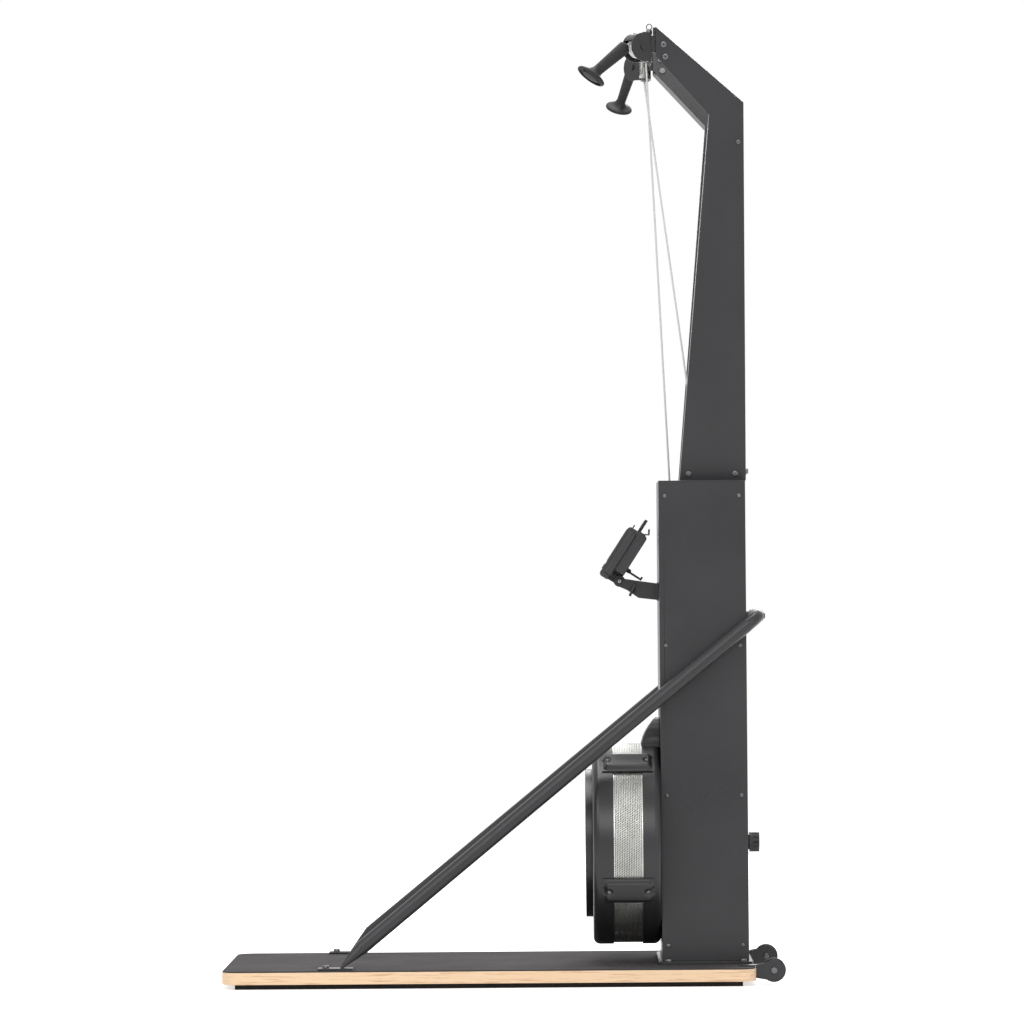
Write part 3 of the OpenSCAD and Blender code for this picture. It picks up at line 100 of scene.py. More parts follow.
# Node helpers: a value is a plain number or colour, or a socket to link
def feed(tree, socket, value):
    if isinstance(value, bpy.types.NodeSocket):
        tree.links.new(value, socket)
    else:
        socket.default_value = value


def addNode(tree, kind, values=None, **settings):
    node = tree.nodes.new(kind)
    for key, value in settings.items():
        setattr(node, key, value)
    for key, value in (values or {}).items():
        feed(tree, node.inputs[key], value)
    return node


def maths(tree, operation, *values):
    return addNode(tree, "ShaderNodeMath", dict(enumerate(values)), operation=operation).outputs[0]


def spread(tree, value, low, high, fromLow=0.3, fromHigh=0.7):
    return addNode(tree, "ShaderNodeMapRange", {"Value": value, "From Min": fromLow, "From Max": fromHigh,
                                                "To Min": low, "To Max": high}).outputs["Result"]


def mixColour(tree, factor, first, second):
    return addNode(tree, "ShaderNodeMix", {"Factor": factor, 6: first, 7: second}, data_type="RGBA",
                   clamp_factor=True).outputs[2]


def bump(tree, shader, height, distance):
    node = addNode(tree, "ShaderNodeBump", {"Strength": 1.0, "Distance": distance, "Height": height})
    tree.links.new(node.outputs["Normal"], shader.inputs["Normal"])


def newMaterial(name, roughness=0.5, metallic=0.0, specular=0.5):
    material = bpy.data.materials.new(name)
    material.use_nodes = True
    shader = material.node_tree.nodes["Principled BSDF"]
    shader.inputs["Roughness"].default_value = roughness
    shader.inputs["Metallic"].default_value = metallic
    shader.inputs["Specular IOR Level"].default_value = specular
    return material, material.node_tree, shader


# Camera, floor and light
cameraView = {"place": (0.193, -11.577, 0.866), "lens": 176.98, "sensor": 36, "reach": 100,
              "yaw": 0.671, "pitch": 1.019, "roll": 0.463}
camera = newObject("camera", bpy.data.cameras.new("camera"))
camera.data.lens = cameraView["lens"]
camera.data.sensor_width = cameraView["sensor"]
camera.data.clip_end = cameraView["reach"]
camera.matrix_world = (Matrix.Translation(cameraView["place"]) @ turn(cameraView["yaw"], "Z")
                       @ turn(cameraView["pitch"], "X") @ turn(cameraView["roll"], "Y") @ turn(90, "X"))
bpy.context.scene.camera = camera
bpy.context.scene.view_settings.view_transform = "Standard"

studio = {"ambient": 0.5, "floorColour": (0.86, 0.86, 0.86, 1), "floorGlow": 0.62, "floorSize": 60}
lamps = [  # name, place, aim, size, watts
    ("keyLamp", (-3.2, -5.2, 4.6), (0.2, 0, 1.1), 3.2, 110),
    ("glanceLamp", (0.6, -8.5, 4.9), (0.4, 0, 1.6), 3.6, 165),
    ("fillLamp", (4.6, -4.6, 2.4), (0.2, 0, 1.0), 3.0, 45),
    ("topLamp", (0.2, 0.4, 5.2), (0.2, 0, 0), 3.0, 170),
    ("backLamp", (1.5, 4.8, 3.2), (0.2, 0, 1.2), 3.0, 120)]
for name, place, aim, size, watts in lamps:
    light = bpy.data.lights.new(name, "AREA")
    light.size = size
    light.energy = watts
    aimed = (Vector(aim) - Vector(place)).to_track_quat("-Z", "Y")
    newObject(name, light).matrix_world = Matrix.Translation(place) @ aimed.to_matrix().to_4x4()


# 1 for rays that see the background as it is: straight from the camera, mirrored or through glass
def seenDirectly(tree):
    path = addNode(tree, "ShaderNodeLightPath")
    mirrored = maths(tree, "MAXIMUM", path.outputs["Is Camera Ray"], path.outputs["Is Glossy Ray"])
    return maths(tree, "MAXIMUM", mirrored, path.outputs["Is Transmission Ray"])


world = bpy.data.worlds.new("studioWorld")
bpy.context.scene.world = world
world.use_nodes = True
worldTree = world.node_tree
backdrop = worldTree.nodes["Background"]
backdrop.inputs["Color"].default_value = (1, 1, 1, 1)
feed(worldTree, backdrop.inputs["Strength"],
     spread(worldTree, seenDirectly(worldTree), studio["ambient"], 1.0, 0.0, 1.0))

floorFinish, floorTree, floorShader = newMaterial("paleFloor", roughness=0.9, specular=0.0)
floorShader.inputs["Base Color"].default_value = studio["floorColour"]
floorShader.inputs["Emission Color"].default_value = (1, 1, 1, 1)
feed(floorTree, floorShader.inputs["Emission Strength"],
     spread(floorTree, seenDirectly(floorTree), 0.0, studio["floorGlow"], 0.0, 1.0))
floorMesh = bmesh.new()
bmesh.ops.create_grid(floorMesh, x_segments=1, y_segments=1, size=studio["floorSize"] / 2)
floorData = bpy.data.meshes.new("floor")
floorMesh.to_mesh(floorData)
floorMesh.free()
floorData.materials.append(floorFinish)
newObject("floor", floorData)
print("camera, floor and light are set")


# Shared surface effects
def newGroup(name, inputs, outputs):
    tree = bpy.data.node_groups.new(name, "ShaderNodeTree")
    tree.interface.new_socket(name="Vector", in_out="INPUT", socket_type="NodeSocketVector")
    for title, (kind, value) in inputs.items():
        socket = tree.interface.new_socket(name=title, in_out="INPUT", socket_type="NodeSocket" + kind)
        socket.default_value = value
    for title in outputs:
        tree.interface.new_socket(name=title, in_out="OUTPUT", socket_type="NodeSocketFloat")
    return tree, addNode(tree, "NodeGroupInput").outputs, addNode(tree, "NodeGroupOutput").inputs


# Fine grain of a powder coat, a moulded plastic or rubber, with a slow drift of tone
def makeGrain():
    tree, start, end = newGroup("surfaceGrain", {"Scale": ("Float", 900.0), "Drift": ("Float", 6.0)},
                                ("Height", "Tone"))
    fine = addNode(tree, "ShaderNodeTexNoise", {"Vector": start["Vector"], "Scale": start["Scale"],
                                                "Detail": 3.0, "Roughness": 0.6})
    pits = addNode(tree, "ShaderNodeTexVoronoi", {"Vector": start["Vector"], "Scale": start["Scale"]},
                   feature="SMOOTH_F1")
    drift = addNode(tree, "ShaderNodeTexNoise", {"Vector": start["Vector"], "Scale": start["Drift"],
                                                 "Detail": 4.0, "Roughness": 0.55})
    height = maths(tree, "MULTIPLY_ADD", pits.outputs["Distance"], 0.5, fine.outputs["Fac"])
    feed(tree, end["Height"], height)
    feed(tree, end["Tone"], drift.outputs["Fac"])
    return tree


# Rubbed edges: the mesh's own convex edges, broken up by noise
def makeWear():
    tree, start, end = newGroup("edgeWear", {"Amount": ("Float", 0.5), "Patch": ("Float", 40.0)}, ("Mask",))
    shape = addNode(tree, "ShaderNodeNewGeometry")
    patch = addNode(tree, "ShaderNodeTexNoise", {"Vector": start["Vector"], "Scale": start["Patch"],
                                                 "Detail": 5.0, "Roughness": 0.65})
    edge = spread(tree, shape.outputs["Pointiness"], 0.0, 1.0, 0.515, 0.6)
    broken = spread(tree, patch.outputs["Fac"], 0.0, 1.0, 0.42, 0.62)
    feed(tree, end["Mask"], maths(tree, "MULTIPLY", maths(tree, "MULTIPLY", edge, broken), start["Amount"]))
    return tree


# Dust that settles on faces turned upwards
def makeDust():
    tree, start, end = newGroup("settledDust", {"Amount": ("Float", 0.2)}, ("Mask",))
    shape = addNode(tree, "ShaderNodeNewGeometry")
    split = addNode(tree, "ShaderNodeSeparateXYZ", {0: shape.outputs["Normal"]})
    cloud = addNode(tree, "ShaderNodeTexNoise", {"Vector": start["Vector"], "Scale": 28.0,
                                                 "Detail": 6.0, "Roughness": 0.7})
    upward = spread(tree, split.outputs["Z"], 0.0, 1.0, 0.55, 1.0)
    settled = maths(tree, "MULTIPLY", upward, cloud.outputs["Fac"])
    feed(tree, end["Mask"], maths(tree, "MULTIPLY", settled, start["Amount"]))
    return tree


# Fine lines along one direction, as rolling or turning leaves on metal
def makeBrush():
    tree, start, end = newGroup("brushedLines", {"Stretch": ("Vector", (1.0, 1.0, 60.0)),
                                                 "Scale": ("Float", 30.0)}, ("Height", "Tone"))
    squeeze = addNode(tree, "ShaderNodeVectorMath", {0: start["Vector"], 1: start["Stretch"]},
                      operation="MULTIPLY")
    lines = addNode(tree, "ShaderNodeTexNoise", {"Vector": squeeze.outputs[0], "Scale": start["Scale"],
                                                 "Detail": 4.0, "Roughness": 0.6})
    cloud = addNode(tree, "ShaderNodeTexNoise", {"Vector": start["Vector"], "Scale": 18.0, "Detail": 3.0})
    feed(tree, end["Height"], lines.outputs["Fac"])
    feed(tree, end["Tone"], cloud.outputs["Fac"])
    return tree


grainGroup, wearGroup, dustGroup, brushGroup = makeGrain(), makeWear(), makeDust(), makeBrush()


def useGroup(tree, group, vector, **values):
    return addNode(tree, "ShaderNodeGroup", {"Vector": vector, **values}, node_tree=group)


def coordinates(tree, kind="Object"):
    return addNode(tree, "ShaderNodeTexCoord").outputs[kind]


# Powder coat, moulded plastic and rubber: grain, drift of tone, a little dust, and rubbed edges if asked
def coated(look):
    material, tree, shader = newMaterial(look["title"], metallic=look.get("metallic", 0.0),
                                         specular=look.get("specular", 0.5))
    vector = coordinates(tree)
    grain = useGroup(tree, grainGroup, vector, Scale=look["grain"], Drift=look.get("drift", 6.0))
    dust = useGroup(tree, dustGroup, vector, Amount=look.get("dust", 0.12))
    tone = grain.outputs["Tone"]
    colour = mixColour(tree, spread(tree, tone, 0.0, 1.0), tint(*look["dark"]), tint(*look["light"]))
    if "wear" in look:
        wear = useGroup(tree, wearGroup, vector, Amount=look["wear"])
        colour = mixColour(tree, wear.outputs["Mask"], colour, tint(*look["rubbed"]))
    colour = mixColour(tree, dust.outputs["Mask"], colour, tint(150, 146, 140))
    feed(tree, shader.inputs["Base Color"], colour)
    feed(tree, shader.inputs["Roughness"], spread(tree, tone, *look["roughness"]))
    bump(tree, shader, grain.outputs["Height"], look["bump"])
    return material


def metal(look):
    material, tree, shader = newMaterial(look["title"], metallic=1.0)
    brush = useGroup(tree, brushGroup, coordinates(tree), Stretch=look["stretch"], Scale=look["scale"])
    tone = spread(tree, brush.outputs["Tone"], 0.0, 1.0)
    feed(tree, shader.inputs["Base Color"], mixColour(tree, tone, tint(*look["dark"]), tint(*look["light"])))
    feed(tree, shader.inputs["Roughness"], spread(tree, brush.outputs["Height"], *look["roughness"]))
    bump(tree, shader, brush.outputs["Height"], look["bump"])
    return material


# Birch plywood: long grain along X on the faces, and layers that follow Z at the edges
def plywoodFinish():
    look = {"layer": 0.00135, "wobble": 0.0005, "relief": 0.0001,
            "pale": tint(243, 216, 184), "brown": tint(232, 198, 160), "glue": tint(186, 134, 92)}
    material, tree, shader = newMaterial("plywood", roughness=0.42)
    vector = coordinates(tree)
    brush = useGroup(tree, brushGroup, vector, Stretch=(1.0, 18.0, 18.0), Scale=9.0)
    split = addNode(tree, "ShaderNodeSeparateXYZ", {0: vector})
    height = maths(tree, "MULTIPLY_ADD", brush.outputs["Tone"], look["wobble"], split.outputs["Z"])
    layers = maths(tree, "FRACT", maths(tree, "DIVIDE", height, look["layer"] * 2))
    ply = addNode(tree, "ShaderNodeValToRGB", {"Fac": layers})
    ply.color_ramp.interpolation = "LINEAR"
    stops = ply.color_ramp.elements
    stops[0].position, stops[0].color = 0.0, look["glue"]
    stops[1].position, stops[1].color = 0.07, look["pale"]
    for position, name in ((0.45, "pale"), (0.5, "glue"), (0.56, "brown"), (0.95, "brown")):
        stops.new(position).color = look[name]
    veins = useGroup(tree, brushGroup, vector, Stretch=(1.0, 6.0, 22.0), Scale=13.0)
    veining = spread(tree, veins.outputs["Height"], 0.0, 0.55, 0.54, 0.64)
    veined = mixColour(tree, veining, ply.outputs["Color"], look["glue"])
    pores = mixColour(tree, spread(tree, brush.outputs["Tone"], 0.0, 0.6, 0.5, 0.7), veined, look["brown"])
    feed(tree, shader.inputs["Base Color"], pores)
    bump(tree, shader, brush.outputs["Height"], look["relief"])
    return material


# Braided cord: two sets of strands that cross, on the piece's own UV map (turns, metres), with painted shade
# in the grooves between strands
def cordFinish():
    look = {"strandsRound": 6.0, "strandsAlong": 110.0, "relief": 0.0004,
            "groove": tint(188, 188, 186), "strand": tint(214, 214, 212)}
    material, tree, shader = newMaterial("cordBraid", roughness=0.75, specular=0.25)
    shader.inputs["Sheen Weight"].default_value = 0.15
    split = addNode(tree, "ShaderNodeSeparateXYZ", {0: coordinates(tree, "UV")})
    strands = []
    for direction in (1.0, -1.0):
        along = maths(tree, "MULTIPLY", split.outputs["Y"], look["strandsAlong"] * direction)
        across = maths(tree, "MULTIPLY", split.outputs["X"], look["strandsRound"])
        strands.append(maths(tree, "PINGPONG", maths(tree, "ADD", along, across), 0.5))
    braid = maths(tree, "MAXIMUM", *strands)
    # Painted shade: where the braid is low, between the strands, the colour goes darker
    colour = mixColour(tree, spread(tree, braid, 0.0, 1.0, 0.1, 0.5), look["groove"], look["strand"])
    feed(tree, shader.inputs["Base Color"], colour)
    bump(tree, shader, braid, look["relief"])
    return material


# Soft rubber grip with rows of raised dots, on the piece's own UV map (turns, metres)
def gripFinish():
    look = {"dotsRound": 26.0, "dotsAlong": 300.0, "from": 0.038, "to": 0.108, "fade": 0.001,
            "grain": 0.08, "relief": 0.0006, "rubber": tint(26, 26, 28), "dot": tint(46, 46, 49)}
    material, tree, shader = newMaterial("handleRubber", roughness=0.6, specular=0.35)
    grain = useGroup(tree, grainGroup, coordinates(tree), Scale=1600.0, Drift=20.0)
    split = addNode(tree, "ShaderNodeSeparateXYZ", {0: coordinates(tree, "UV")})
    cells = [maths(tree, "PINGPONG", maths(tree, "MULTIPLY", split.outputs[axis], count), 0.5)
             for axis, count in (("X", look["dotsRound"]), ("Y", look["dotsAlong"]))]
    dots = spread(tree, maths(tree, "MULTIPLY", *cells), 0.0, 1.0, 0.05, 0.16)
    start = spread(tree, split.outputs["Y"], 0.0, 1.0, look["from"] - look["fade"], look["from"])
    stop = spread(tree, split.outputs["Y"], 1.0, 0.0, look["to"], look["to"] + look["fade"])
    raised = maths(tree, "MULTIPLY", maths(tree, "MULTIPLY", start, stop), dots)
    feed(tree, shader.inputs["Base Color"], mixColour(tree, raised, look["rubber"], look["dot"]))
    bump(tree, shader, maths(tree, "MULTIPLY_ADD", grain.outputs["Height"], look["grain"], raised),
         look["relief"])
    return material


# Anti-slip sheet: small close pips and a slow change of tone
def matFinish():
    look = {"dark": tint(66, 63, 64), "light": tint(80, 77, 78), "between": tint(50, 48, 49),
            "relief": 0.0005}
    material, tree, shader = newMaterial("antiSlipMat", roughness=0.85, specular=0.12)
    vector = coordinates(tree)
    grain = useGroup(tree, grainGroup, vector, Scale=420.0, Drift=9.0)
    pips = addNode(tree, "ShaderNodeTexVoronoi", {"Vector": vector, "Scale": 260.0, "Randomness": 0.15})
    distance = pips.outputs["Distance"]
    colour = mixColour(tree, spread(tree, grain.outputs["Tone"], 0.0, 1.0), look["dark"], look["light"])
    colour = mixColour(tree, spread(tree, distance, 0.0, 0.45, 0.2, 0.6), colour, look["between"])
    feed(tree, shader.inputs["Base Color"], colour)
    bump(tree, shader, maths(tree, "MULTIPLY_ADD", grain.outputs["Height"], 0.4, distance), look["relief"])
    return material


# Window over the monitor's display: dark, glossy, with faint smears
def screenFinish():
    look = {"dark": tint(16, 22, 26), "light": tint(34, 42, 46), "relief": 0.000005}
    material, tree, shader = newMaterial("displayWindow")
    shader.inputs["Coat Weight"].default_value = 0.6
    shader.inputs["Coat Roughness"].default_value = 0.04
    grain = useGroup(tree, grainGroup, coordinates(tree), Scale=900.0, Drift=22.0)
    tone = grain.outputs["Tone"]
    feed(tree, shader.inputs["Base Color"], mixColour(tree, tone, look["dark"], look["light"]))
    feed(tree, shader.inputs["Roughness"], spread(tree, tone, 0.05, 0.16))
    bump(tree, shader, grain.outputs["Height"], look["relief"])
    return material


coatings = {
    "black_steel": {"title": "satinPowderCoat", "dark": (43, 43, 45), "light": (53, 53, 55), "grain": 1100.0,
                    "bump": 0.0001, "roughness": (0.26, 0.34), "drift": 3.0, "specular": 0.3, "dust": 0.04},
    "grey_steel": {"title": "dullPrimer", "dark": (96, 97, 98), "light": (112, 112, 114), "grain": 900.0,
                   "bump": 0.0001, "roughness": (0.5, 0.65)},
    "rubber": {"title": "runnerRubber", "dark": (28, 28, 29), "light": (40, 40, 41), "grain": 700.0,
               "bump": 0.0002, "roughness": (0.7, 0.85), "specular": 0.3},
    "wheel_rubber": {"title": "tyreRubber", "dark": (26, 26, 27), "light": (38, 38, 39), "grain": 800.0,
                     "bump": 0.0002, "roughness": (0.6, 0.8), "specular": 0.3,
                     "wear": 0.3, "rubbed": (84, 82, 80)},
    "black_plastic": {"title": "blackMoulding", "dark": (28, 28, 30), "light": (36, 36, 38), "grain": 1300.0,
                      "bump": 0.00008, "roughness": (0.4, 0.52)},
    "fan_plastic": {"title": "satinMoulding", "dark": (27, 27, 29), "light": (34, 34, 36), "grain": 1500.0,
                    "bump": 0.00003, "roughness": (0.3, 0.38), "drift": 4.0, "specular": 0.42},
    "knob_plastic": {"title": "knobMoulding", "dark": (28, 28, 29), "light": (36, 36, 37), "grain": 1200.0,
                     "bump": 0.0001, "roughness": (0.42, 0.55)},
    "dial_plastic": {"title": "dialMoulding", "dark": (40, 40, 42), "light": (48, 48, 50), "grain": 1200.0,
                     "bump": 0.00006, "roughness": (0.45, 0.55)},
    "case_plastic": {"title": "monitorMoulding", "dark": (44, 44, 46), "light": (52, 52, 54), "grain": 1100.0,
                     "bump": 0.0001, "roughness": (0.45, 0.58), "drift": 9.0, "specular": 0.35},
    "button_rubber": {"title": "buttonRubber", "dark": (104, 106, 110), "light": (124, 126, 130),
                      "grain": 1300.0, "bump": 0.0001, "roughness": (0.6, 0.7)},
    "white_nylon": {"title": "whiteNylon", "dark": (222, 222, 219), "light": (238, 238, 235), "grain": 700.0,
                    "bump": 0.00004, "roughness": (0.35, 0.48), "dust": 0.08},
    "black_screws": {"title": "blackenedSteel", "dark": (82, 82, 84), "light": (110, 110, 112),
                     "grain": 1400.0, "bump": 0.00004, "roughness": (0.26, 0.38), "metallic": 0.85,
                     "dust": 0.04}}
metals = {
    "bolt_steel": {"title": "zincSteel", "dark": (160, 161, 164), "light": (184, 185, 188),
                   "stretch": (1.0, 1.0, 1.0), "scale": 400.0, "roughness": (0.26, 0.4), "bump": 0.00003},
    "mesh_steel": {"title": "brightMeshSteel", "dark": (166, 166, 162), "light": (194, 194, 190),
                   "stretch": (1.0, 30.0, 30.0), "scale": 20.0, "roughness": (0.26, 0.4), "bump": 0.00004},
    "drum_aluminium": {"title": "turnedAluminium", "dark": (200, 201, 203), "light": (220, 221, 223),
                       "stretch": (60.0, 1.0, 1.0), "scale": 24.0, "roughness": (0.24, 0.38),
                       "bump": 0.00004}}
finishes = {"plywood": plywoodFinish(), "mat": matFinish(), "cord": cordFinish(),
            "handle_rubber": gripFinish(), "screen_glass": screenFinish()}
finishes.update({slot: coated(look) for slot, look in coatings.items()})
finishes.update({slot: metal(look) for slot, look in metals.items()})
for node, cad in nodes.items():
    for holder in cad.material_slots:
        holder.link = "OBJECT"
        holder.material = finishes[slotOf[node]]
print("finishes are made:", len(finishes))


# Mesh helpers
def ease(value):
    value = min(1.0, max(0.0, value))
    return value * value * (3 - 2 * value)


def placed(bm, matrix):
    bmesh.ops.transform(bm, matrix=matrix, verts=bm.verts)
    if matrix.determinant() < 0:
        bmesh.ops.reverse_faces(bm, faces=bm.faces)
    return bm


def merged(parts):
    whole = bmesh.new()
    for part in parts:
        holder = bpy.data.meshes.new("holder")
        part.to_mesh(holder)
        part.free()
        whole.from_mesh(holder)
        bpy.data.meshes.remove(holder)
    return whole


def box(x, y, z, matrix):
    bm = bmesh.new()
    bmesh.ops.create_cube(bm, size=1, matrix=matrix @ Matrix.Diagonal((x / 1000, y / 1000, z / 1000, 1)))
    return bm


def cylinder(radius, length, segments, matrix, capped=True):
    bm = bmesh.new()
    bmesh.ops.create_cone(bm, cap_ends=capped, segments=segments, radius1=radius / 1000,
                          radius2=radius / 1000, depth=length / 1000, matrix=matrix)
    return bm


# The edges of a cylinder's wall that run along its axis
def wallEdges(bm):
    return [edge for edge in bm.edges if abs(edge.verts[0].co.z - edge.verts[1].co.z) > 1e-6]


# A circle without a face, from which an extrusion or a spin can grow
def circleLoop(bm, segments, radius, matrix):
    verts = bmesh.ops.create_circle(bm, segments=segments, radius=radius / 1000, matrix=matrix)["verts"]
    return verts, list({edge for vert in verts for edge in vert.link_edges})


def ofKind(items, kind):
    return [item for item in items if isinstance(item, kind)]


# A profile of (radius, height) turned about Z; an open end that isn't on the axis stays open
def lathe(profile, steps=32, closed=False):
    bm = bmesh.new()
    points = [bm.verts.new(mm(radius, 0, height)) for radius, height in profile]
    edges = [bm.edges.new(pair) for pair in zip(points, points[1:])]
    if closed:
        edges.append(bm.edges.new((points[-1], points[0])))
    bmesh.ops.spin(bm, geom=points + edges, cent=(0, 0, 0), axis=(0, 0, 1), dvec=(0, 0, 0),
                   angle=2 * math.pi, steps=steps, use_merge=True, use_duplicate=False)
    bmesh.ops.remove_doubles(bm, verts=bm.verts, dist=1e-6)
    bmesh.ops.recalc_face_normals(bm, faces=bm.faces)
    return bm


def finished(name, bm, body, slotName, replaced=(), sharp=35, bevel=0.0, segments=2, bevelAngle=35):
    mesh = bpy.data.meshes.new(name)
    bm.to_mesh(mesh)
    bm.free()
    mesh.materials.append(finishes[slotName])
    for polygon in mesh.polygons:
        polygon.use_smooth = True
    piece = newObject(name, mesh)
    if bevel:
        modifier = piece.modifiers.new("softEdge", "BEVEL")
        modifier.width = bevel / 1000
        modifier.segments = segments
        modifier.limit_method = "ANGLE"
        modifier.angle_limit = math.radians(bevelAngle)
        modifier.use_clamp_overlap = False
        weighted = piece.modifiers.new("flatFaces", "WEIGHTED_NORMAL")
        weighted.weight = 100
    else:
        mesh.set_sharp_from_angle(angle=math.radians(sharp))
    if body:
        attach(piece, body)
    if replaced:
        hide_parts(*replaced)
    return piece


# A copy of a CAD node with its triangles merged and its edges softened
def dressed(node, bevel, segments=2, bevelAngle=35):
    bm = bmesh.new()
    bm.from_mesh(nodes[node].data)
    bmesh.ops.remove_doubles(bm, verts=bm.verts, dist=1e-5)
    bmesh.ops.dissolve_limit(bm, angle_limit=math.radians(0.6), verts=bm.verts, edges=bm.edges)
    words = node.split("_")
    title = words[0] + "".join(word.capitalize() for word in words[1:])
    return finished(title, bm, nodes[node]["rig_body"], slotOf[node], [node], bevel=bevel, segments=segments,
                    bevelAngle=bevelAngle)


def dressEach(bevels, **settings):
    for node, bevel in bevels.items():
        dressed(node, bevel, **settings)


# Bolts and screws: radius and height of the head, radius and length of the shank, radius of the hex
# socket, and how much of the head's height is dome
boltKinds = {
    "baseBolt": {"head": (7.5, 6), "shank": (4, 29), "socket": 3.6, "dome": 0.2},
    "stayFootBolt": {"head": (7.5, 6), "shank": (4, 28), "socket": 3.6, "dome": 0.2},
    "stayBackBolt": {"head": (7, 5), "shank": (4, 47.6), "socket": 3.4, "dome": 0.45},
    "armBackBolt": {"head": (6.5, 6), "shank": (4, 20), "socket": 3.2, "dome": 0.3},
    "hingeBolt": {"head": (7.5, 4), "shank": (4, 51), "socket": 2.8, "dome": 0.6},
    "armFootBolt": {"head": (7, 3), "shank": (3, 14), "socket": 2.8, "dome": 0.6},
    "axleBolt": {"head": (6.5, 4), "shank": (4, 41), "socket": 2.9, "dome": 0.45},
    "pivotBolt": {"head": (4, 1.4), "shank": (3, 1), "socket": 2.2, "dome": 0.5},
    "panelScrew": {"head": (4.5, 2.5), "shank": (2.5, 8), "socket": 1.6, "dome": 0.6, "steps": 18},
    "armScrew": {"head": (5.5, 3), "shank": (2.5, 6), "socket": 1.9, "dome": 0.5, "steps": 18},
    "clampScrew": {"head": (4.5, 2), "shank": (2.5, 10), "socket": 1.6, "dome": 0.6, "steps": 18},
    "bracketScrew": {"head": (4.5, 3), "shank": (2.5, 10), "socket": 1.6, "dome": 0.5, "steps": 18},
    "dialScrew": {"head": (3.75, 2), "shank": (2, 8), "socket": 1.4, "dome": 0.6, "steps": 18}}


# The head stands above z 0 and the shank hangs below it
def bolt(kind, matrix):
    look = boltKinds[kind]
    headR, headH = look["head"]
    shankR, shankL = look["shank"]
    steps, dome = look.get("steps", 24), look["dome"]
    bm = lathe([(0, -shankL), (shankR * 0.8, -shankL), (shankR, -shankL + 0.6), (shankR, 0),
                (headR - 0.3, 0), (headR, 0.3), (headR, headH * (1 - dome)),
                (headR * 0.93, headH * (1 - dome * 0.35)), (headR * 0.78, headH),
                (look["socket"] * 1.2, headH)], steps)
    rim = [edge for edge in bm.edges if edge.is_boundary]
    sides = circleLoop(bm, 6, look["socket"], shift(0, 0, headH))[1]
    bmesh.ops.subdivide_edges(bm, edges=sides, cuts=steps // 6 - 1)
    sides = [edge for edge in bm.edges if edge.is_wire]
    bmesh.ops.bridge_loops(bm, edges=rim + sides)
    walls = bmesh.ops.extrude_edge_only(bm, edges=sides)["geom"]
    bmesh.ops.translate(bm, verts=ofKind(walls, bmesh.types.BMVert), vec=mm(0, 0, -headH * 0.7))
    bmesh.ops.edgeloop_fill(bm, edges=ofKind(walls, bmesh.types.BMEdge))
    bmesh.ops.recalc_face_normals(bm, faces=bm.faces)
    return placed(bm, matrix)


# Hex nut from z 0 up, with chamfered corners and the bolt's end in it
def hexNut(across, height, boltR, matrix):
    bm = cylinder(across / math.sqrt(3), height, 6, shift(0, 0, height / 2))
    walls = wallEdges(bm)
    bmesh.ops.bevel(bm, geom=[edge for edge in bm.edges if edge not in walls], offset=0.0006,
                    offset_type="OFFSET", segments=1, profile=0.5, affect="EDGES", material=-1)
    top = height + 1.5
    end = lathe([(0, top), (boltR - 0.6, top), (boltR, top - 0.6), (boltR, 0.5), (0, 0.5)], 20)
    return placed(merged([bm, end]), matrix)


# Board, base and stay
dressEach({"board": 1.2, "board_mat": 0.6, "board_runners": 1.5, "base_plate": 0.5, "stay_mounts": 0.8,
           "stay_tube": 0, "wheel_brackets": 0.5})
print("board, base and stay are dressed")


# Column and arms
dressEach({"right_side_panel": 0.9, "left_side_panel": 0.9, "front_panel": 0.9, "rear_panel": 0.9,
           "top_cover": 0.9})
dressEach({"right_arm": 0.9, "left_arm": 0.9}, bevelAngle=30)
dressEach({"hinge_brackets": 0.5, "right_yoke": 0.5, "left_yoke": 0.5})
dressEach({"right_pulley": 0.4, "left_pulley": 0.4}, segments=1)
dressed("cord_eyelets", 0.6)
print("column, arms and heads are dressed")


# Places that several pieces share
columnBack = 589
shaftHeight = 310
arm = {"base": (0, 30, 1138), "lean": 8.0, "width": 50}
armLean = math.radians(arm["lean"])
clamp = {"middle": 316.5, "reach": 231, "angles": (54, -25), "screw": 44}


# Axes of an arm that leans outwards from the column's top
def armFrame(side):
    return sideMatrix(side) @ shift(*arm["base"]) @ turn(-arm["lean"], "X")


# Axes on the fan band, with Y pointing away from the shaft
def clampFrame(side, angle):
    return (sideMatrix(side) @ shift(clamp["middle"], 0, shaftHeight) @ turn(angle, "X")
            @ shift(0, clamp["reach"], 0))


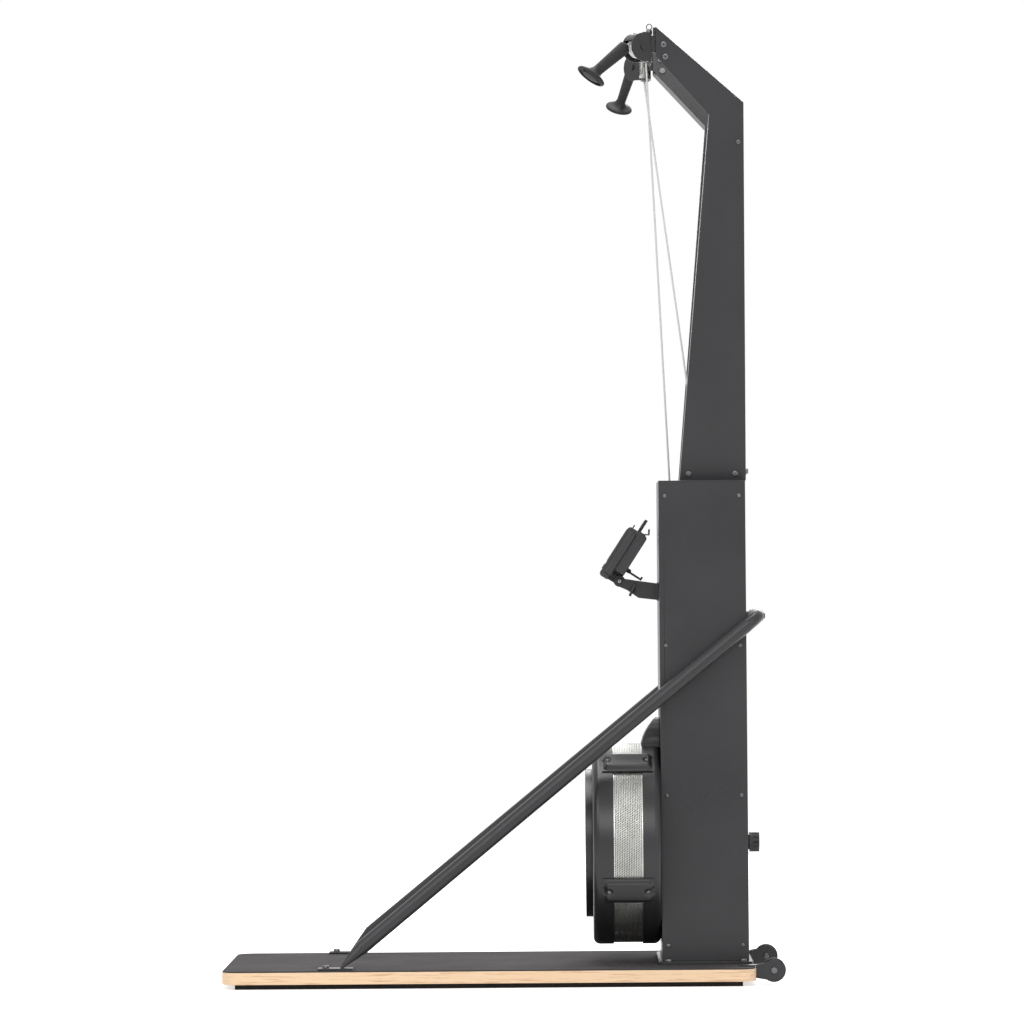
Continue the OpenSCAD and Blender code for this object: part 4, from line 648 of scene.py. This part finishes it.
def makeBolts():
    at = {"panelX": (406, 575), "baseY": 156, "baseZ": 48, "stayFoot": (-366, 268, 47),
          "stayBack": (629.6, 62, 829), "armBack": (593, 62, 1160), "hinge": ((411, 991), (415, 964)),
          "armFootX": (462, 568), "armFootRise": 16, "panelY": 140, "panelZ": (83, 423, 763, 1103),
          "armScrew": (579, 772), "clampRise": 9.2, "bracket": (389, 14, 886), "dialZ": (283, 332),
          "axle": (641, 211, 33), "axleNut": 34, "nutAcross": 13}
    outwards, backwards, forwards = turn(-90, "X"), turn(90, "Y"), turn(-90, "Y")
    upArm = 1 / math.cos(armLean)
    deck, rear, nuts, small, axles = [], [], [], [], []
    for side in (-1, 1):
        mirror = sideMatrix(side)
        for x in at["panelX"]:
            deck.append(bolt("baseBolt", shift(x, side * at["baseY"], at["baseZ"])))
        x, y, z = at["stayFoot"]
        deck.append(bolt("stayFootBolt", shift(x, side * y, z)))
        for kind, (x, y, z) in (("stayBackBolt", at["stayBack"]), ("armBackBolt", at["armBack"])):
            rear.append(bolt(kind, shift(x, side * y, z) @ backwards))
        for x, height in at["hinge"]:
            across = armFrame(side) @ shift(x, arm["width"], height * upArm) @ outwards
            deck.append(bolt("hingeBolt", across))
            nuts.append(hexNut(at["nutAcross"], 5, 4, across @ shift(0, 0, -arm["width"]) @ turn(180, "X")))
        for x in at["armFootX"]:
            out = arm["base"][1] + arm["width"] * upArm + at["armFootRise"] * math.tan(armLean)
            foot = mirror @ shift(x, out, arm["base"][2] + at["armFootRise"])
            deck.append(bolt("armFootBolt", foot @ turn(-90 - arm["lean"], "X")))
        for x in at["panelX"]:
            for z in at["panelZ"]:
                small.append(bolt("panelScrew", mirror @ shift(x, at["panelY"], z) @ outwards))
        x, height = at["armScrew"]
        small.append(bolt("armScrew", armFrame(side) @ shift(x, arm["width"], height * upArm) @ outwards))
        for angle in clamp["angles"]:
            for x in (-clamp["screw"], clamp["screw"]):
                on = clampFrame(side, angle) @ shift(x, at["clampRise"], 0)
                small.append(bolt("clampScrew", on @ outwards))
        x, y, z = at["bracket"]
        small.append(bolt("bracketScrew", shift(x, side * y, z) @ forwards))
        across = mirror @ shift(*at["axle"]) @ turn(90, "X")
        axles.append(bolt("axleBolt", across))
        axles.append(hexNut(at["nutAcross"], 6, 4, across @ shift(0, 0, -at["axleNut"]) @ turn(180, "X")))
    for z in at["dialZ"]:
        small.append(bolt("dialScrew", shift(columnBack + 3, 0, z) @ backwards))
    finished("frameBolts", merged(deck + rear + nuts), "stand", "black_screws", ["frame_bolts"], sharp=40)
    finished("caseScrews", merged(small), "stand", "black_screws", ["case_screws"], sharp=40)
    finished("wheelAxles", merged(axles), "stand", "black_screws", ["wheel_axles"], sharp=40)


makeBolts()
print("bolts and screws are made")


# Wheel with a hub, a webbed dish and a grooved tread
def makeWheel(side, name):
    look = {"at": (641, 228, 33), "radius": 27, "width": 24, "shoulder": 3, "grooves": 3, "depth": 1.1,
            "ribs": 8, "rib": (10.5, 2.2, 21.2), "ribAt": 14.6}
    half = look["width"] / 2
    # Radius, and how far the flank stands out past the tread's half width
    flank = [(4.05, 1.5), (9.6, 1.5), (10, 1.1), (10, -2), (19.4, -2), (20.6, -0.4), (22, 0), (25, 0),
             (26.4, -1), (look["radius"], -look["shoulder"])]
    profile = [(radius, -half - out) for radius, out in flank]
    pitch = (look["width"] - 2 * look["shoulder"]) / (look["grooves"] + 1)
    for groove in range(look["grooves"]):
        middle = -half + look["shoulder"] + pitch * (groove + 1)
        floor = look["radius"] - look["depth"]
        profile += [(look["radius"], middle - 0.9), (floor, middle - 0.5), (floor, middle + 0.5),
                    (look["radius"], middle + 0.9)]
    profile += [(radius, half + out) for radius, out in reversed(flank)]
    parts = [lathe(profile, 64, closed=True)]
    for index in range(look["ribs"]):
        rib = box(*look["rib"], Matrix())
        bmesh.ops.bevel(rib, geom=rib.edges, offset=0.0005, offset_type="OFFSET", segments=1, profile=0.5,
                        affect="EDGES", material=-1)
        parts.append(placed(rib, turn(index * 360 / look["ribs"], "Z") @ shift(look["ribAt"], 0, 0)))
    whole = placed(merged(parts), sideMatrix(side) @ shift(*look["at"]) @ turn(90, "X"))
    finished(name + "Wheel", whole, name + "_roller", "wheel_rubber", [name + "_wheel"], sharp=30)


makeWheel(-1, "right")
makeWheel(1, "left")
print("wheels are made")


# Fan case: the steel band is a tube of slanted cells, each with a hole, and plain rims
def makeFanBand():
    look = {"radius": 227.6, "width": 78, "round": 360, "rows": 20, "web": 0.98, "sheet": 0.9, "plain": 8.5}
    bm = cylinder(look["radius"], look["width"], look["round"], Matrix(), capped=False)
    bmesh.ops.subdivide_edges(bm, edges=wallEdges(bm), cuts=look["rows"] - 1, use_grid_fill=True)
    pitch = look["width"] / 1000 / look["rows"]
    for vert in bm.verts:
        spin = math.pi / look["round"] * vert.co.z / pitch
        vert.co = Matrix.Rotation(spin, 3, "Z") @ vert.co
    edge = (look["width"] / 2 - look["plain"]) / 1000
    holes = [face for face in bm.faces if abs(face.calc_center_median().z) < edge]
    bmesh.ops.inset_individual(bm, faces=holes, thickness=look["web"] / 1000)
    bmesh.ops.delete(bm, geom=holes, context="FACES")
    placed(bm, shift(clamp["middle"], 0, shaftHeight) @ turn(90, "Y"))
    band = finished("fanBand", bm, "stand", "mesh_steel", ["fan_band"], sharp=60)
    wall = band.modifiers.new("sheetWall", "SOLIDIFY")
    wall.thickness = look["sheet"] / 1000
    wall.offset = -1


# Bridge over the band: a pillow on a low flange, with a pocket round the screw at each end
def makeClamp(side, angle):
    look = {"length": 116, "width": 60, "cell": 2, "flange": 3.2, "rise": 8.8, "margin": 3.5, "corner": 9,
            "slope": 9, "lead": 0.15, "pocket": 6, "deep": 2.8, "pocketEdge": 3}
    bm = bmesh.new()
    bmesh.ops.create_grid(bm, x_segments=look["length"] // look["cell"],
                          y_segments=look["width"] // look["cell"], size=0.5)
    raised = set(ofKind(bmesh.ops.extrude_face_region(bm, geom=bm.faces[:])["geom"], bmesh.types.BMVert))
    halfX = look["length"] / 2 - look["margin"] - look["corner"]
    halfY = look["width"] / 2 - look["margin"] - look["corner"]
    for vert in bm.verts:
        x, y = vert.co.x * look["length"], vert.co.y * look["width"]
        height = 0
        if vert in raised:
            outside = math.hypot(max(0, abs(x) - halfX), max(0, abs(y) - halfY))
            pillow = ease((look["corner"] - outside) / look["slope"] + look["lead"])
            away = math.hypot(min(0, abs(x) - clamp["screw"]), y) - look["pocket"]
            pocket = 1 - ease(away / look["pocketEdge"])
            height = look["flange"] + look["rise"] * pillow - look["deep"] * pocket
        bend = y / clamp["reach"]
        out = clamp["reach"] + height
        vert.co = mm(x, out * math.cos(bend) - clamp["reach"], out * math.sin(bend))
    bmesh.ops.recalc_face_normals(bm, faces=bm.faces)
    return placed(bm, clampFrame(side, angle))


makeFanBand()
bridges = [makeClamp(side, angle) for side in (-1, 1) for angle in clamp["angles"]]
finished("shellClamps", merged(bridges), "stand", "fan_plastic", ["shell_clamps"], sharp=40)
dressEach({"fan_front_shell": 1.0, "fan_rear_shell": 1.0}, bevelAngle=45)
dressed("intake_grille", 0.5, segments=1)
print("fan case is made")


# Damper control: a fluted knob with a raised rim on its face, a hub and a pin into the column
def makeKnob():
    look = {"radius": 22.5, "length": 22, "flutes": 12, "flute": 2.6, "skirt": 3, "runOut": 4,
            "mark": (1.6, 11, 1.2), "markAt": (0, 12.5, 21.6), "gap": 7}
    bm = cylinder(look["radius"], look["length"], 96, shift(0, 0, look["length"] / 2))
    bmesh.ops.subdivide_edges(bm, edges=wallEdges(bm), cuts=4, use_grid_fill=True)
    for vert in bm.verts:
        angle = math.atan2(vert.co.y, vert.co.x) * look["flutes"]
        depth = max(0.0, math.cos(angle)) ** 1.5 * look["flute"] / look["radius"]
        above = vert.co.z * 1000 - look["skirt"]
        if above > 0 and vert.co.xy.length > look["radius"] / 2000:
            vert.co.xy *= 1 - depth * min(1.0, above / look["runOut"])
    face = max(bm.faces, key=lambda item: item.calc_center_median().z)
    bmesh.ops.inset_region(bm, faces=[face], thickness=0.0014, depth=0.0009)
    bmesh.ops.inset_region(bm, faces=[face], thickness=0.0022, depth=-0.0012)
    bmesh.ops.translate(bm, verts=face.verts, vec=mm(0, 0, -0.2))
    pin = lathe([(0, -19), (4.4, -19), (5, -18.4), (5, 1), (0, 1)], 24)
    hub = lathe([(0, -3.4), (16.5, -3.4), (17, -2.9), (17, 0.5), (0, 0.5)], 72)
    onBack = shift(columnBack + look["gap"], 0, shaftHeight) @ turn(90, "Y")
    finished("damperKnob", placed(merged([bm, pin, hub]), onBack), "knob", "knob_plastic", ["damper_knob"],
             sharp=45)
    mark = box(*look["mark"], onBack @ shift(*look["markAt"]))
    finished("knobMark", mark, "knob", "white_nylon")


# Ticks and plain numbers on the dial plate, cut off where the plate ends
def makeDial():
    look = {"ticks": 19, "first": -135, "step": 15, "ring": 24.6, "long": 2.6, "short": 1.6, "letter": 6.2,
            "relief": 0.15, "face": 3.15, "edgeY": 25.5, "edgeZ": (275.5, 336.5)}
    dressed("dial_plate", 0.8)
    marks = []
    for index in range(look["ticks"]):
        way = turn(look["first"] + index * look["step"], "Z") @ shift(0, look["ring"], 0)
        marks.append(box(0.6, look["short"] if index % 3 else look["long"], 0.3, way))
    for label, y, z in (("1", -20.6, -27), ("4", -20.8, 20.4), ("7", 20.8, 20.4), ("10", 19.6, -27)):
        words = bpy.data.curves.new("dialNumber", "FONT")
        words.body = label
        words.size = look["letter"] / 1000
        words.align_x = words.align_y = "CENTER"
        words.extrude = look["relief"] / 1000
        holder = newObject("dialNumber", words)
        number = bmesh.new()
        number.from_mesh(holder.to_mesh())
        bpy.data.objects.remove(holder)
        marks.append(placed(number, shift(y, z, 0)))
    onPlate = shift(columnBack + look["face"], 0, shaftHeight) @ turn(90, "Z") @ turn(90, "X")
    whole = placed(merged(marks), onPlate)
    low, high = look["edgeZ"]
    outside = [vert for vert in whole.verts
               if abs(vert.co.y * 1000) > look["edgeY"] or not low < vert.co.z * 1000 < high]
    bmesh.ops.delete(whole, geom=outside, context="VERTS")
    finished("dialMarks", whole, "stand", "white_nylon", sharp=30)


makeKnob()
makeDial()
print("damper control is made")


# Monitor
monitor = {"pivot": (303, 0, 911), "tilt": 33, "corner": (-49, 0, -12)}
monitorFrame = shift(*monitor["pivot"]) @ turn(monitor["tilt"], "Y") @ shift(*monitor["corner"])
dressed("monitor_bracket", 0.5)
dressed("monitor_case", 1.4, segments=3, bevelAngle=40)
dressed("monitor_screen", 0.3, segments=1)
dressEach({"right_button": 0.8, "middle_button": 0.8, "left_button": 0.8, "upper_clip": 0.8,
           "lower_clip": 0.8})
dressed("wing_screw", 1.4, segments=3)


# Small forms of the case, as boxes in the monitor's own axes: X to the back, Z up
def makeMonitorTrim():
    trim = {
        "bar": {"size": (1.2, 142, 1.2), "places": ((-0.35, 0, 37.6), (-0.35, 0, 120.4))},
        "post": {"size": (1.2, 1.2, 83.4), "places": ((-0.35, -70.4, 79), (-0.35, 70.4, 79))},
        # Painted shade: thin dark strips stand for the shade in the seam between the case's halves
        "seam": {"size": (1, 0.6, 94), "places": ((30, -85.1, 78), (30, 85.1, 78))},
        "ridge": {"size": (20, 10, 112), "places": ((16, -85.1, 66), (16, 85.1, 66))},
        "block": {"size": (26, 52, 24), "places": ((37, 0, 18),)},
        "rib": {"size": (1.6, 40, 1.8), "places": [(22.6, 0, 134.5 + row * 4.6) for row in range(6)]}}

    def boxes(*kinds):
        parts = [box(*trim[kind]["size"], shift(*place)) for kind in kinds for place in trim[kind]["places"]]
        return placed(merged(parts), monitorFrame)

    finished("monitorBezel", boxes("bar", "post"), "monitor", "black_plastic", bevel=0.3, segments=1)
    # Painted shade along the seams: a darker moulding where the real case has only a shaded gap
    finished("caseSeamShade", boxes("seam"), "monitor", "black_plastic", sharp=30)
    finished("caseRidges", boxes("ridge"), "monitor", "case_plastic", bevel=4.4, segments=6)
    finished("hingeBlock", boxes("block"), "monitor", "case_plastic", bevel=2.5, segments=3)
    onBracket = shift(*monitor["pivot"]) @ shift(0, -38, 0) @ turn(90, "X")
    finished("pivotBolt", bolt("pivotBolt", onBracket), "stand", "bolt_steel", sharp=40)
    finished("clipRibs", boxes("rib"), "top_clip", "button_rubber", bevel=0.5)


makeMonitorTrim()
print("monitor is made")


# Heads, handles and cords
heads = {
    "right": {"side": -1, "heading": 36, "dip": 39, "lean": -8, "eyelet": (420, -12, 1138)},
    "left": {"side": 1, "heading": 52, "dip": 47, "lean": 11, "eyelet": (492, -8, 1138)}}
headSize = {"hinge": (379, 195.505, 2116), "axleOut": 31, "wrapR": 21.05, "below": 34}
cord = {"radius": 2.25, "steps": 14, "drumY": -32.55, "lead": 50, "leadBend": (2, 49)}


# Axes of a head: Z along its pin, X towards the pulley
def headFrame(name):
    head = heads[name]
    return sideMatrix(head["side"]) @ shift(*headSize["hinge"]) @ turn(180 - head["heading"], "Z")


# Axes of a handle: X along the cord, from the point where it leaves the pulley
def handleFrame(name):
    head = heads[name]
    return (headFrame(name) @ shift(headSize["axleOut"], 0, 0) @ turn(head["dip"], "Y")
            @ shift(0, 0, headSize["wrapR"]) @ turn(-head["lean"], "Z"))


# Writes turns round the tube and metres along it to a UV map
def writeMap(bm, spin, length):
    layer = bm.loops.layers.uv.new("along")
    for face in bm.faces:
        turns = [spin(loop.vert.co) / (2 * math.pi) for loop in face.loops]
        crossesSeam = max(turns) - min(turns) > 0.5
        for loop, value in zip(face.loops, turns):
            if crossesSeam and value < 0:
                value += 1
            loop[layer].uv = (value, length(loop.vert.co))


def writeStraightMap(bm):
    writeMap(bm, lambda place: math.atan2(place.z, place.y), lambda place: place.x)


# Oval grip with a slanted oval flange; the bore for the cord stays round
def makeHandle(name):
    look = {"slant": 16, "flareFrom": 112, "flareTo": 134, "gripShare": 0.7, "flangeShare": 0.82, "bore": 3}
    profile = [(0, 52), (2.85, 52), (2.85, 20.4), (3.4, 20), (4.4, 20.2), (6.2, 21), (7, 22), (7.3, 23),
               (10.4, 24.2), (13.2, 25.5), (14.8, 27.2), (15.4, 29), (15.5, 31), (15.3, 40), (14.9, 50),
               (14.3, 65), (13.7, 80), (13.1, 96), (12.7, 108), (12.6, 114), (13, 118), (14.4, 122),
               (17.4, 126), (22, 129.4), (27.5, 131.6), (31.4, 133), (33.8, 134.8), (34.8, 137),
               (34.6, 139.4), (33.4, 141.2), (31.8, 142), (30.4, 142), (29.5, 141), (29.2, 138.2),
               (22, 137.4), (21.2, 139.4), (19.6, 141.2), (10, 142.6), (0, 142.8)]
    bm = placed(lathe(profile, 56), turn(90, "Y"))
    slope = math.tan(math.radians(look["slant"]))
    for vert in bm.verts:
        share = ease((vert.co.x * 1000 - look["flareFrom"]) / (look["flareTo"] - look["flareFrom"]))
        if vert.co.yz.length * 1000 > look["bore"]:
            vert.co.y *= look["gripShare"] + (look["flangeShare"] - look["gripShare"]) * share
        vert.co.x += vert.co.z * slope * share
    writeStraightMap(bm)
    finished(name + "Grip", placed(bm, handleFrame(name)), name + "_grip", "handle_rubber",
             [name + "_handle"], sharp=32)


def closeEnds(bm):
    ends = [edge for edge in bm.edges if edge.is_boundary]
    bmesh.ops.holes_fill(bm, edges=ends, sides=cord["steps"])
    bmesh.ops.recalc_face_normals(bm, faces=bm.faces)
    return bm


# A straight cord along local X, with a map for its braid
def cordTube(length):
    bm = bmesh.new()
    edges = circleLoop(bm, cord["steps"], cord["radius"], turn(90, "Y"))[1]
    grown = bmesh.ops.extrude_edge_only(bm, edges=edges)["geom"]
    bmesh.ops.translate(bm, verts=ofKind(grown, bmesh.types.BMVert), vec=mm(length, 0, 0))
    writeStraightMap(closeEnds(bm))
    return bm


# A cord bent round the pulley, with a map for its braid
def cordBend(degrees):
    bm = bmesh.new()
    first = shift(-headSize["wrapR"], 0, 0) @ turn(90, "X")
    verts, edges = circleLoop(bm, cord["steps"], cord["radius"], first)
    bmesh.ops.spin(bm, geom=verts + edges, cent=(0, 0, 0), axis=(0, 1, 0), dvec=(0, 0, 0),
                   angle=math.radians(degrees), steps=28, use_merge=False, use_duplicate=False)
    radius = headSize["wrapR"] / 1000
    writeMap(closeEnds(bm), lambda place: math.atan2(place.y, place.xz.length - radius),
             lambda place: math.atan2(place.z, -place.x) * radius)
    return bm


def cordBetween(start, end):
    way = end - start
    matrix = Matrix.Translation(start) @ way.to_track_quat("X", "Z").to_matrix().to_4x4()
    return placed(cordTube(way.length * 1000), matrix)


def makeCords(name):
    head = heads[name]
    top = headFrame(name) @ mm(headSize["axleOut"] - headSize["wrapR"], 0, -headSize["below"])
    eyelet = mm(*head["eyelet"])
    drum = mm(head["eyelet"][0], cord["drumY"], shaftHeight)
    run = finished(name + "CordRun", merged([cordBetween(drum, eyelet), cordBetween(eyelet, top)]), None,
                   "cord", [name + "_cord"], sharp=60)
    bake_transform(run)

    rise = placed(cordTube(headSize["below"]),
                  shift(-headSize["wrapR"], 0, -headSize["below"]) @ turn(-90, "Y"))
    wrap = placed(merged([cordBend(90 + head["dip"]), rise]),
                  headFrame(name) @ shift(headSize["axleOut"], 0, 0))
    finished(name + "CordWrap", wrap, name + "_head", "cord", [name + "_cord_wrap"], sharp=60)

    lead = finished(name + "CordLead", placed(cordTube(cord["lead"]), handleFrame(name)), None, "cord",
                    [name + "_cord_lead"], sharp=60)
    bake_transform(lead)


# Pin through the head's hinge: a head and a pull ring above, a clip below
def makeHinge(name):
    look = {"ringR": 6.5, "wireR": 1.25, "ringUp": 48, "ringTurn": 20}
    parts = [lathe([(0, -41), (2.2, -41), (2.5, -40.4), (2.5, 43.4), (2.2, 44), (0, 44)], 20),
             lathe([(2.4, 34.3), (6.6, 34.3), (7, 34.7), (7, 40.4), (6, 41.3), (2.4, 41.3)], 24, closed=True),
             lathe([(2.4, -36), (4.8, -36), (5, -35.7), (5, -32.8), (4.7, -32.5), (2.4, -32.5)], 24,
                   closed=True)]
    ring = bmesh.new()
    verts, edges = circleLoop(ring, 12, look["wireR"], shift(look["ringR"], 0, 0) @ turn(90, "X"))
    bmesh.ops.spin(ring, geom=verts + edges, cent=(0, 0, 0), axis=(0, 0, 1), dvec=(0, 0, 0),
                   angle=2 * math.pi, steps=36, use_merge=True, use_duplicate=False)
    bmesh.ops.recalc_face_normals(ring, faces=ring.faces)
    parts.append(placed(ring, shift(0, 0, look["ringUp"]) @ turn(look["ringTurn"], "Z") @ turn(90, "X")))
    return placed(merged(parts), sideMatrix(heads[name]["side"]) @ shift(*headSize["hinge"]))


# Upright fin between the swivel pin and the arm's tip, on the hinge bracket
def makeTipFins():
    look = {"size": (6.4, 5, 25), "x": 390.6, "z": 2150.5}
    place = shift(look["x"], headSize["hinge"][1], look["z"])
    fins = [placed(box(*look["size"], place), sideMatrix(side)) for side in (-1, 1)]
    finished("tipFins", merged(fins), "stand", "black_steel", bevel=0.8)


for name in heads:
    makeHandle(name)
    makeCords(name)
makeTipFins()
finished("swivelPins", merged([makeHinge(name) for name in heads]), "stand", "black_screws",
         ["swivel_pins"], sharp=40)
print("heads, handles and cords are made")
